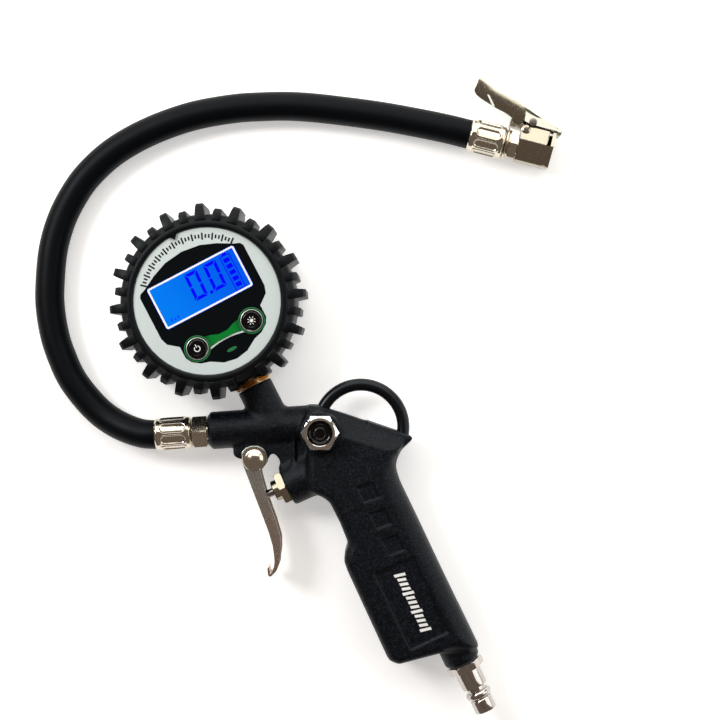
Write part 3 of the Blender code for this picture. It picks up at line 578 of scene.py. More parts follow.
# White print for the label and the button symbols; it also paints the highlight on the chuck
# lever's thumb ridge.
LABEL_AND_HIGHLIGHT_WHITE = Plastic("label_white", (0.84, 0.84, 0.84), 0.5)
# Black print for the scale ticks; it also paints the shade in the chuck's claw slot.
PRINT_AND_SHADE_BLACK = Plastic("print_black", (0.006, 0.007, 0.009), 0.5, shine=0.2)
SILVER_LINE = Plastic("silver_line", (0.45, 0.47, 0.45), 0.3, metallic=0.3)
BLUE_GLASS = Display("backlit_glass", (0.0008, 0.205, 0.87), shine=0.1)
SEGMENT = Lit("segment_blue", (0.002, 0.002, 0.74), shine=0.0)
FAINT_SEGMENT = Lit("segment_faint", (0.003, 0.06, 0.84), shine=0.0)
BOARD_GREEN = Plastic("board_green", (0.01, 0.10, 0.035), 0.35)
CELL_WRAP = Plastic("battery_wrap", (0.02, 0.07, 0.045), 0.3, coat=0.4)
TRAY_BLACK = Plastic("tray_black", (0.02, 0.02, 0.022), 0.5)
FLOOR_WHITE = Table("table_white", (0.90, 0.90, 0.90))


# Mesh building -------------------------------------------------------------------


def stand(at: Place, axis: Place, roll: float = 0.0) -> Matrix:
    """Gives the frame that stands on a point with its +Z along an axis.

    Args:
        at: The origin, in millimetres.
        axis: The direction of +Z.
        roll: The turn about +Z, in degrees.

    Returns:
        The frame in millimetres.
    """
    turn = Vector(axis).to_track_quat("Z", "Y").to_matrix().to_4x4()
    return Matrix.Translation(Vector(at)) @ turn @ Matrix.Rotation(math.radians(roll), 4, "Z")


def arc(centre: Spot, radius: float, start: float, end: float, count: int) -> list[Spot]:
    """Gives points along an arc.

    Args:
        centre: Its centre.
        radius: Its radius.
        start: Its first angle in degrees.
        end: Its last angle in degrees.
        count: The number of points.

    Returns:
        The points in order.
    """
    angles = np.radians(np.linspace(start, end, count))
    return [
        (centre[0] + radius * math.cos(a), centre[1] + radius * math.sin(a)) for a in angles
    ]


def softened(outline: Sequence[Spot], radius: float, steps: int = 4) -> list[Spot]:
    """Rounds the corners of a closed outline.

    Args:
        outline: Its corners.
        radius: How far from a corner the rounding starts.
        steps: The number of points on each corner.

    Returns:
        The rounded outline.
    """
    points: list[Spot] = []
    for i, here in enumerate(outline):
        corner = Vector(here)
        before = Vector(outline[i - 1]) - corner
        after = Vector(outline[(i + 1) % len(outline)]) - corner
        reach_before = min(radius, before.length * 0.45)
        reach_after = min(radius, after.length * 0.45)
        start = corner + before.normalized() * reach_before
        end = corner + after.normalized() * reach_after
        for t in np.linspace(0.0, 1.0, steps):
            spot = start.lerp(corner, t).lerp(corner.lerp(end, t), t)
            points.append((spot.x, spot.y))
    return points


def smooth_path(points: Sequence[Place], parts: int) -> list[Vector]:
    """Gives a path through points with extra points between them.

    Args:
        points: The points that it passes through.
        parts: The number of steps between two points.

    Returns:
        The finer path.
    """
    spots = [Vector(point) for point in points]
    ends = [spots[0] * 2 - spots[1], *spots, spots[-1] * 2 - spots[-2]]
    path = []
    for before, start, end, after in zip(ends, ends[1:], ends[2:], ends[3:]):
        for t in np.arange(parts) / parts:
            path.append(0.5 * (
                start * 2 + (end - before) * t
                + (before * 2 - start * 5 + end * 4 - after) * t * t
                + (start * 3 - before - end * 3 + after) * t * t * t
            ))
    return path + [spots[-1]]


class Stock:
    """A mesh being worked on, in millimetres."""

    def __init__(self) -> None:
        """Starts with no mesh."""
        self.work = bmesh.new()

    def rings(self, rows: Sequence[Sequence[Place]], where: Matrix, loop: bool = False) -> "Stock":
        """Skins rings of points.

        Args:
            rows: The rings; one with a single point closes an end.
            where: The frame that they are given in.
            loop: Whether the last ring joins the first.

        Returns:
            This stock.
        """
        made = [[self.work.verts.new(where @ Vector(spot)) for spot in row] for row in rows]
        pairs = list(zip(made, made[1:])) + ([(made[-1], made[0])] if loop else [])
        for first, second in pairs:
            count = max(len(first), len(second))
            for j in range(count):
                k = (j + 1) % count
                if len(first) == 1:
                    corners = (first[0], second[k], second[j])
                elif len(second) == 1:
                    corners = (first[j], first[k], second[0])
                else:
                    corners = (first[j], first[k], second[k], second[j])
                self.work.faces.new(corners)
        return self

    def turned(
        self,
        profile: Sequence[Spot],
        where: Matrix,
        steps: int = 96,
        loop: bool = False,
    ) -> "Stock":
        """Turns a profile of (radius, height) about the frame's +Z.

        Args:
            profile: The profile's points.
            where: The frame.
            steps: The number of sides.
            loop: Whether the profile is closed.

        Returns:
            This stock.
        """
        angles = np.linspace(0.0, 2.0 * math.pi, steps, endpoint=False)
        rows = []
        for radius, height in profile:
            if radius <= 1e-6:
                rows.append([(0.0, 0.0, height)])
            else:
                rows.append(
                    [(radius * math.cos(a), radius * math.sin(a), height) for a in angles]
                )
        return self.rings(rows, where, loop)

    def hexagon(
        self,
        across: float,
        start: float,
        end: float,
        bore: float,
        where: Matrix,
        chamfer: float = 0.5,
        flare: float = 1.15,
    ) -> "Stock":
        """Adds a hexagonal nut whose ends are turned off at an angle.

        Args:
            across: Its size across the flats.
            start: Its lower end.
            end: Its upper end.
            bore: The radius of its hole.
            where: The frame.
            chamfer: How deep the turned ends go at the corners.
            flare: How far they go in for each millimetre of depth.

        Returns:
            This stock.
        """
        corner = across / math.sqrt(3.0)
        drops = (0.0, 0.25, 0.5, 0.75, 1.0)
        levels = [start + chamfer * d for d in drops] + [end - chamfer * d for d in drops[::-1]]
        angles = np.linspace(0.0, 2.0 * math.pi, 96, endpoint=False)
        rows = []
        for level in levels:
            limit = corner - flare * max(0.0, chamfer - (level - start), chamfer - (end - level))
            row = []
            for a in angles:
                flat = across / 2.0 / math.cos(a % (math.pi / 3.0) - math.pi / 6.0)
                radius = min(flat, limit)
                row.append((radius * math.cos(a), radius * math.sin(a), level))
            rows.append(row)
        for level in (end, start):
            rows.append([(bore * math.cos(a), bore * math.sin(a), level) for a in angles])
        return self.rings(rows, where, loop=True)

    def plate(
        self,
        outlines: Sequence[Sequence[Spot]],
        bottom: float,
        top: float,
        where: Optional[Matrix] = None,
    ) -> "Stock":
        """Extrudes an outline with holes.

        Args:
            outlines: The outer edge, then any holes.
            bottom: The lower level.
            top: The upper level.
            where: The frame, or None for the tool's own.

        Returns:
            This stock.
        """
        where = where or Matrix.Identity(4)
        flat = [Vector((x, y, 0.0)) for outline in outlines for x, y in outline]
        faces = tessellate_polygon([[Vector((x, y, 0.0)) for x, y in line] for line in outlines])
        layers = [
            [self.work.verts.new(where @ Vector((v.x, v.y, level))) for v in flat]
            for level in (bottom, top)
        ]
        for a, b, c in faces:
            self.work.faces.new((layers[0][c], layers[0][b], layers[0][a]))
            self.work.faces.new((layers[1][a], layers[1][b], layers[1][c]))
        first = 0
        for outline in outlines:
            for j in range(len(outline)):
                a, b = first + j, first + (j + 1) % len(outline)
                self.work.faces.new((layers[0][a], layers[0][b], layers[1][b], layers[1][a]))
            first += len(outline)
        return self

    def bar(self, low: Place, high: Place, where: Optional[Matrix] = None) -> "Stock":
        """Adds a block.

        Args:
            low: Its lower corner.
            high: Its upper corner.
            where: The frame, or None for the tool's own.

        Returns:
            This stock.
        """
        (x0, y0, z0), (x1, y1, z1) = low, high
        return self.plate([[(x0, y0), (x1, y0), (x1, y1), (x0, y1)]], z0, z1, where)

    def soften(self, width: float, segments: int = 2, angle: float = 30.0) -> "Stock":
        """Rounds every edge that is sharper than an angle.

        Args:
            width: The rounding's width.
            segments: Its number of facets.
            angle: The sharpest edge that is left alone, in degrees.

        Returns:
            This stock.
        """
        work = self.work
        bmesh.ops.recalc_face_normals(work, faces=work.faces)
        bmesh.ops.dissolve_limit(
            work, angle_limit=math.radians(1.0), verts=work.verts, edges=work.edges
        )
        limit = math.radians(angle)
        edges = [e for e in work.edges if len(e.link_faces) == 2 and e.calc_face_angle() > limit]
        bmesh.ops.bevel(
            work, geom=edges, offset=width, segments=segments, affect="EDGES", profile=0.5,
            clamp_overlap=True,
        )
        return self

    def mesh(self, name: str) -> bpy.types.Mesh:
        """Turns the stock into a mesh in metres, which uses the stock up.

        Args:
            name: The mesh's name.

        Returns:
            The mesh.
        """
        bmesh.ops.recalc_face_normals(self.work, faces=self.work.faces)
        self.work.transform(Matrix.Scale(MM, 4))
        mesh = bpy.data.meshes.new(name)
        self.work.to_mesh(mesh)
        self.work.free()
        return mesh

    def piece(
        self,
        name: str,
        body: str,
        finish: Finish,
        *replaced: str,
        sharp: float = 32.0,
        slot: str = "",
    ) -> bpy.types.Object:
        """Hands the mesh over as a piece of the object.

        Args:
            name: The piece's name.
            body: The CAD body that it rides on.
            finish: Its finish.
            replaced: The CAD nodes that it stands for.
            sharp: The angle above which an edge stays sharp, in degrees.
            slot: Not used.

        Returns:
            The piece.
        """
        return hand_over(name, self.mesh(name), body, finish, replaced, sharp)


def hand_over(
    name: str,
    data: Union[bpy.types.Mesh, bpy.types.Curve],
    body: str,
    finish: Finish,
    replaced: Iterable[str] = (),
    sharp: float = 32.0,
) -> bpy.types.Object:
    """Makes an object ride on its body, in its finish.

    Args:
        name: The piece's name.
        data: Its mesh or curve, in metres.
        body: The CAD body that it rides on.
        finish: Its finish.
        replaced: The CAD nodes that it stands for.
        sharp: The angle above which an edge stays sharp, in degrees.

    Returns:
        The piece.
    """
    if isinstance(data, bpy.types.Mesh):
        data.shade_smooth()
        data.set_sharp_from_angle(angle=math.radians(sharp))
    piece = bpy.data.objects.new(name, data)
    bpy.context.scene.collection.objects.link(piece)
    data.materials.append(finish.make())
    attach(piece, body)
    nodes = list(replaced)
    if nodes:
        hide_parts(*nodes)
    LOG.info("%s rides on %s in %s", name, body, finish.name)
    return piece


def dress_node(node: str, finish: Finish) -> bpy.types.Object:
    """Gives a CAD node that stays its finish.

    Args:
        node: The node's name.
        finish: Its finish.

    Returns:
        The node's object.
    """
    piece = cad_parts[node]
    piece.data.materials.clear()
    piece.data.materials.append(finish.make())
    LOG.info("%s keeps its CAD shape in %s", node, finish.name)
    return piece


class Casting:
    """A cast shape held as distances on a grid, so that its parts flow together."""

    def __init__(self, low: Place, high: Place, step: float) -> None:
        """Starts with an empty grid.

        Args:
            low: Its lower corner.
            high: Its upper corner.
            step: The distance between its points.
        """
        self.step = step
        self.low = np.array(low, float)
        axes = [np.arange(a, b, step, dtype=np.float32) for a, b in zip(low, high)]
        self.x, self.y, self.z = np.meshgrid(*axes, indexing="ij", sparse=True)
        self.values = np.full([len(axis) for axis in axes], 9.0, np.float32)

    def window(self, low: Place, high: Place) -> tuple[slice, slice, slice]:
        """Gives the part of the grid between two corners.

        Args:
            low: The lower corner.
            high: The upper corner.

        Returns:
            A slice along each axis.
        """
        spans = []
        for i in range(3):
            first = int((low[i] - self.low[i]) / self.step) - 1
            last = int((high[i] - self.low[i]) / self.step) + 2
            spans.append(slice(max(0, first), max(0, min(self.values.shape[i], last))))
        return tuple(spans)

    def grid(self, part: tuple[slice, slice, slice]) -> tuple[np.ndarray, ...]:
        """Returns the coordinates in a part of the grid."""
        return self.x[part[0]], self.y[:, part[1]], self.z[:, :, part[2]]

    def join(self, part: tuple[slice, slice, slice], shape: np.ndarray, blend: float) -> None:
        """Adds a shape with a fillet.

        Args:
            part: The part of the grid that the shape covers.
            shape: Its distances there.
            blend: The fillet's size.
        """
        here = self.values[part]
        mix = np.maximum(blend - np.abs(here - shape), 0.0) / blend
        self.values[part] = np.minimum(here, shape) - mix * mix * blend * 0.25

    def cut(self, part: tuple[slice, slice, slice], shape: np.ndarray, blend: float = 0.2) -> None:
        """Takes a shape away with a softened edge.

        Args:
            part: The part of the grid that the shape covers.
            shape: Its distances there.
            blend: The softening's size.
        """
        here = self.values[part]
        mix = np.maximum(blend - np.abs(here + shape), 0.0) / blend
        self.values[part] = np.maximum(here, -shape) + mix * mix * blend * 0.25

    def rod(
        self,
        at: Place,
        axis: Place,
        start: float,
        end: float,
        radius: float,
        edge: float,
        chamfer: float = 0.0,
    ) -> tuple[tuple[slice, slice, slice], np.ndarray]:
        """Gives a round bar.

        Args:
            at: A point on its axis.
            axis: Its direction.
            start: Where it starts along the axis.
            end: Where it ends.
            radius: Its radius.
            edge: The rounding of its ends.
            chamfer: How far its ends are turned off at 45 degrees.

        Returns:
            The part of the grid near it and its distances there.
        """
        axis = np.array(Vector(axis).normalized())
        ends = np.array([np.array(at) + axis * start, np.array(at) + axis * end])
        part = self.window(ends.min(0) - radius - 3.0, ends.max(0) + radius + 3.0)
        x, y, z = self.grid(part)
        x, y, z = x - at[0], y - at[1], z - at[2]
        height = x * axis[0] + y * axis[1] + z * axis[2]
        out = np.sqrt(np.maximum(x * x + y * y + z * z - height * height, 0.0)) - radius + edge
        over = np.abs(height - (start + end) / 2.0) - (end - start) / 2.0 + edge
        shape = rounded_corner(out, over, edge)
        if chamfer:
            shape = np.maximum(shape, (out + over - 2.0 * edge + chamfer) * 0.7071)
        return part, shape

    def slab(
        self,
        outline: Sequence[Spot],
        bottom: float,
        top: float,
        edge: Union[float, np.ndarray],
        part: Optional[tuple[slice, slice, slice]] = None,
    ) -> tuple[tuple[slice, slice, slice], np.ndarray]:
        """Gives an extruded outline with rounded edges.

        Args:
            outline: Its corners.
            bottom: Its lower level.
            top: Its upper level.
            edge: The rounding, which may differ over the grid.
            part: The part of the grid, or None for the outline's own.

        Returns:
            The part of the grid and its distances there.
        """
        spots = np.array(outline)
        if part is None:
            low, high = spots.min(0) - 3.0, spots.max(0) + 3.0
            part = self.window((*low, bottom - 3.0), (*high, top + 3.0))
        x, y, z = self.grid(part)
        beside = outline_distance(x, y, outline) + edge
        over = np.abs(z - (bottom + top) / 2.0) - (top - bottom) / 2.0 + edge
        return part, rounded_corner(beside, over, edge)

    def skin(self, name: str, relax: int) -> bpy.types.Mesh:
        """Draws the surface where the distance is nought.

        Args:
            name: The mesh's name.
            relax: How many times the surface is evened out.

        Returns:
            The mesh, in metres.
        """
        inside = self.values < 0.0
        corners = np.array([(i, j, k) for i in (0, 1) for j in (0, 1) for k in (0, 1)])
        size = np.array(inside.shape) - 1
        filled = np.zeros(size, np.int8)
        for i, j, k in corners:
            filled += inside[i:size[0] + i, j:size[1] + j, k:size[2] + k]
        active = (filled > 0) & (filled < 8)
        cells = np.argwhere(active)
        number = np.full(active.shape, -1, np.int32)
        number[active] = np.arange(len(cells))
        samples = np.stack([self.values[tuple((cells + c).T)] for c in corners], 1)
        total = np.zeros((len(cells), 3))
        hits = np.zeros((len(cells), 1))
        for a in range(8):
            for b in range(a + 1, 8):
                if np.abs(corners[a] - corners[b]).sum() != 1:
                    continue
                cross = ((samples[:, a] < 0.0) != (samples[:, b] < 0.0))[:, None]
                fall = np.where(cross[:, 0], samples[:, a] - samples[:, b], 1.0)
                share = (samples[:, a] / fall)[:, None]
                total += cross * (corners[a] + share * (corners[b] - corners[a]))
                hits += cross
        points = self.low + self.step * (cells + total / hits)
        quads = self._quads(inside, number)
        for _ in range(relax):
            points = evened(points, quads)
        mesh = bpy.data.meshes.new(name)
        mesh.from_pydata((points * MM).tolist(), [], quads.tolist())
        return mesh

    @staticmethod
    def _quads(inside: np.ndarray, number: np.ndarray) -> np.ndarray:
        """Joins the four cells round every grid edge that the surface crosses.

        Args:
            inside: Which grid points are inside.
            number: The number of each crossed cell.

        Returns:
            The quads, facing outwards.
        """
        quads = []
        for axis in range(3):
            first, second = (axis + 1) % 3, (axis + 2) % 3
            keep = [slice(1, -1)] * 3
            keep[axis] = slice(None, -1)
            ahead = list(keep)
            ahead[axis] = slice(1, None)
            here, there = inside[tuple(keep)], inside[tuple(ahead)]
            for leaving in (True, False):
                spots = np.argwhere((here == leaving) & (there != leaving))
                ring = []
                for b, c in ((0, 0), (1, 0), (1, 1), (0, 1)):
                    cell = spots.copy()
                    cell[:, first] += b
                    cell[:, second] += c
                    ring.append(number[tuple(cell.T)])
                quad = np.stack(ring, 1)
                quads.append(quad if leaving else quad[:, ::-1])
        return np.concatenate(quads)


def evened(points: np.ndarray, quads: np.ndarray) -> np.ndarray:
    """Moves each point half way to the middle of its neighbours.

    Args:
        points: The points.
        quads: The quads that join them.

    Returns:
        The moved points.
    """
    total = np.zeros_like(points)
    count = np.zeros(len(points))
    for a, b in ((0, 1), (1, 2), (2, 3), (3, 0)):
        for near, far in ((a, b), (b, a)):
            for i in range(3):
                total[:, i] += np.bincount(quads[:, near], points[quads[:, far], i], len(points))
            count += np.bincount(quads[:, near], minlength=len(points))
    return 0.5 * points + 0.5 * total / count[:, None]


def rounded_corner(
    out: np.ndarray, over: np.ndarray, edge: Union[float, np.ndarray]
) -> np.ndarray:
    """Joins two distances into one with a rounded corner.

    Args:
        out: The distance beside the shape, grown by the rounding.
        over: The distance above or below it, grown by the rounding.
        edge: The rounding.

    Returns:
        The joined distance.
    """
    beyond = np.hypot(np.maximum(out, 0.0), np.maximum(over, 0.0))
    return np.minimum(np.maximum(out, over), 0.0) + beyond - edge


def edge_distances(x: np.ndarray, y: np.ndarray, outline: Sequence[Spot]) -> list[np.ndarray]:
    """Gives the distance to each edge of a closed outline.

    Args:
        x: The places along x.
        y: The places along y.
        outline: The corners.

    Returns:
        One grid of distances for each edge.
    """
    found = []
    for i, (ax, ay) in enumerate(outline):
        bx, by = outline[(i + 1) % len(outline)]
        ex, ey = bx - ax, by - ay
        t = np.clip(((x - ax) * ex + (y - ay) * ey) / (ex * ex + ey * ey), 0.0, 1.0)
        found.append(np.hypot(x - ax - t * ex, y - ay - t * ey))
    return found


def outline_distance(x: np.ndarray, y: np.ndarray, outline: Sequence[Spot]) -> np.ndarray:
    """Gives the distance to a closed outline, negative inside it.

    Args:
        x: The places along x.
        y: The places along y.
        outline: The corners.

    Returns:
        The distances.
    """
    best = np.minimum.reduce(edge_distances(x, y, outline))
    inside = np.zeros(best.shape, bool)
    for i, (ax, ay) in enumerate(outline):
        bx, by = outline[(i + 1) % len(outline)]
        if ay != by:
            inside ^= ((ay > y) != (by > y)) & (x < (bx - ax) * (y - ay) / (by - ay) + ax)
    return np.where(inside, -best, best).astype(np.float32)


# The pieces ----------------------------------------------------------------------


@dataclass
class Studio:
    """Camera, table and lamps."""

    eye: Place = (63.1, -24.3, 634.0)
    lens: float = 72.8

    def camera(self) -> None:
        """Hangs the camera straight above the tool."""
        data = bpy.data.cameras.new("camera")
        data.lens = self.lens
        data.sensor_width = 36.0
        eye = bpy.data.objects.new("camera", data)
        eye.location = Vector(self.eye) * MM
        bpy.context.scene.collection.objects.link(eye)
        bpy.context.scene.camera = eye

    def table(self) -> None:
        """Lays the pale table under the tool."""
        stock = Stock()
        stock.work.faces.new(
            [stock.work.verts.new((x, y, -0.02)) for x, y in
             ((-4000, -4000), (4000, -4000), (4000, 4000), (-4000, 4000))]
        )
        mesh = bpy.data.meshes.new("table")
        stock.work.transform(Matrix.Scale(MM, 4))
        stock.work.to_mesh(mesh)
        stock.work.free()
        table = bpy.data.objects.new("table", mesh)
        bpy.context.scene.collection.objects.link(table)
        mesh.materials.append(FLOOR_WHITE.make())

    def lamp(self, name: str, at: Place, size: Spot, watts: float, tint: Colour) -> None:
        """Hangs one soft box that faces the tool.

        Args:
            name: Its name.
            at: Its place in metres.
            size: Its width and height in metres.
            watts: Its power.
            tint: Its colour.
        """
        data = bpy.data.lights.new(name, "AREA")
        data.shape = "RECTANGLE"
        data.size, data.size_y = size
        data.energy = watts
        data.color = tint
        lamp = bpy.data.objects.new(name, data)
        lamp.location = at
        away = Vector(at) - Vector((0.04, -0.03, 0.0))
        lamp.rotation_euler = away.to_track_quat("Z", "Y").to_euler()
        lamp.visible_camera = False
        bpy.context.scene.collection.objects.link(lamp)

    def surroundings(self) -> None:
        """Fills the room with a dim warm grey before a pale backdrop."""
        world = bpy.data.worlds.new("room")
        world.use_nodes = True
        nodes, links = world.node_tree.nodes, world.node_tree.links
        dim = nodes["Background"]
        dim.inputs["Color"].default_value = (0.165, 0.13, 0.108, 1.0)
        pale = nodes.new("ShaderNodeBackground")
        pale.inputs["Color"].default_value = (0.86, 0.86, 0.86, 1.0)
        seen = nodes.new("ShaderNodeLightPath")
        mix = nodes.new("ShaderNodeMixShader")
        links.new(seen.outputs["Is Camera Ray"], mix.inputs[0])
        links.new(dim.outputs[0], mix.inputs[1])
        links.new(pale.outputs[0], mix.inputs[2])
        links.new(mix.outputs[0], nodes["World Output"].inputs["Surface"])
        bpy.context.scene.world = world
        bpy.context.scene.view_settings.view_transform = "Standard"

    def light(self) -> None:
        """Sets the lamps."""
        self.surroundings()
        self.lamp("top_box", (0.06, 0.68, 0.52), (1.3, 1.14), 10.2, (1.0, 0.99, 0.94))
        self.lamp("right_box", (0.92, 0.06, 0.46), (0.7, 0.8), 2.8, (0.97, 1.0, 1.0))
        self.lamp("left_key", (-0.66, 0.36, 0.78), (0.34, 0.34), 6.5, (1.0, 0.99, 0.97))


@dataclass
class AirHose:
    """Black rubber hose from the barrel's ferrule to the chuck's."""

    diameter: float = 12.4
    exit: Place = (-0.0239, -0.0561, 0.0125)
    route: tuple[Place, ...] = (
        (-9.4, -55.1, 12.5), (-16.0, -55.5, 12.5), (-24.6, -56.1, 12.4),
        (-31.5, -55.4, 11.0), (-40.2, -52.3, 8.4), (-47.7, -47.7, 6.8),
        (-54.3, -41.3, 6.2), (-61.0, -32.4, 6.2), (-65.3, -23.2, 6.2),
        (-68.4, -13.9, 6.2), (-70.3, -2.9, 6.2), (-70.6, 7.0, 6.2),
        (-69.2, 23.1, 6.2), (-65.4, 36.5, 6.2), (-59.8, 47.5, 6.2),
        (-53.6, 55.9, 6.2), (-44.3, 64.5, 6.2), (-33.3, 71.4, 6.2),
        (-20.6, 77.1, 6.2), (-6.8, 81.4, 6.2), (9.0, 84.1, 6.2),
        (21.0, 84.9, 6.2), (32.0, 85.1, 6.2), (43.5, 84.4, 6.2),
        (57.5, 82.8, 6.2), (70.0, 81.1, 6.3), (81.0, 79.2, 6.6),
        (95.0, 76.3, 7.7), (103.3, 74.33, 8.4), (109.5, 72.75, 8.4), (123.5, 69.19, 8.4),
    )

    def build(self) -> bpy.types.Object:
        """Returns the hose as one open tube."""
        path = smooth_path(self.route, 5)
        curve = bpy.data.curves.new("air_hose", "CURVE")
        curve.dimensions = "3D"
        curve.twist_mode = "MINIMUM"
        curve.bevel_depth = self.diameter / 2.0 * MM
        curve.bevel_resolution = 8
        spline = curve.splines.new("POLY")
        spline.points.add(len(path) - 1)
        for point, spot in zip(spline.points, path):
            point.co = (*(spot * MM), 1.0)
        spline.use_smooth = True
        return hand_over("air_hose", curve, "gun", HOSE_RUBBER, ["hose"])

    def length(self) -> float:
        """Returns the length of the route, in metres."""
        path = smooth_path(self.route, 5)
        return sum((b - a).length for a, b in zip(path, path[1:])) * MM


@dataclass
class CrimpedFerrule:
    """Thin sleeve pressed on to the hose by eight long jaws."""

    name: str
    node: str
    at: Place
    axis: Place
    length: float = 15.4
    radius: float = 7.15
    inner: float = 6.32
    collar: float = 3.3
    jaws: int = 8
    roll: float = 0.0

    def wall(self, angle: float, height: float) -> float:
        """Gives the sleeve's outer radius.

        Args:
            angle: The angle about the axis.
            height: The distance from the hose's end of the sleeve.

        Returns:
            The radius.
        """
        pitch = 2.0 * math.pi / self.jaws
        side = ((angle + pitch / 2.0) % pitch - pitch / 2.0) * self.radius
        start, end = 2.6, self.length - 2.6
        half = 1.75
        along = max(start + half - height, height - (end - half), 0.0)
        gap = half - math.hypot(side, along)
        press = min(1.0, max(0.0, gap / 0.9 + 0.5))
        press = press * press * (3.0 - 2.0 * press)
        rise = math.exp(-((gap + 0.35) / 0.5) ** 2)
        edge = max(0.0, 0.6 - height) * 0.7 + max(0.0, height - self.length + 0.9) * 1.05
        return self.radius - 0.22 - 0.62 * press + 0.2 * rise - edge

    def build(self) -> bpy.types.Object:
        """Returns the sleeve."""
        where = stand(self.at, self.axis, self.roll)
        heights = np.linspace(0.0, self.length, 66)
        angles = np.linspace(0.0, 2.0 * math.pi, 192, endpoint=False)
        rows = [[(self.collar * math.cos(a), self.collar * math.sin(a), h) for a in angles]
                for h in (self.length - 1.0, self.length)]
        for h in heights[::-1]:
            rows.append([
                (self.wall(a, h) * math.cos(a), self.wall(a, h) * math.sin(a), h) for a in angles
            ])
        for h in (0.0, self.length - 1.1):
            rows.append([(self.inner * math.cos(a), self.inner * math.sin(a), h) for a in angles])
        stock = Stock().rings(rows, where, loop=True)
        return stock.piece(self.name, "gun", CRIMPED, self.node, sharp=50.0)


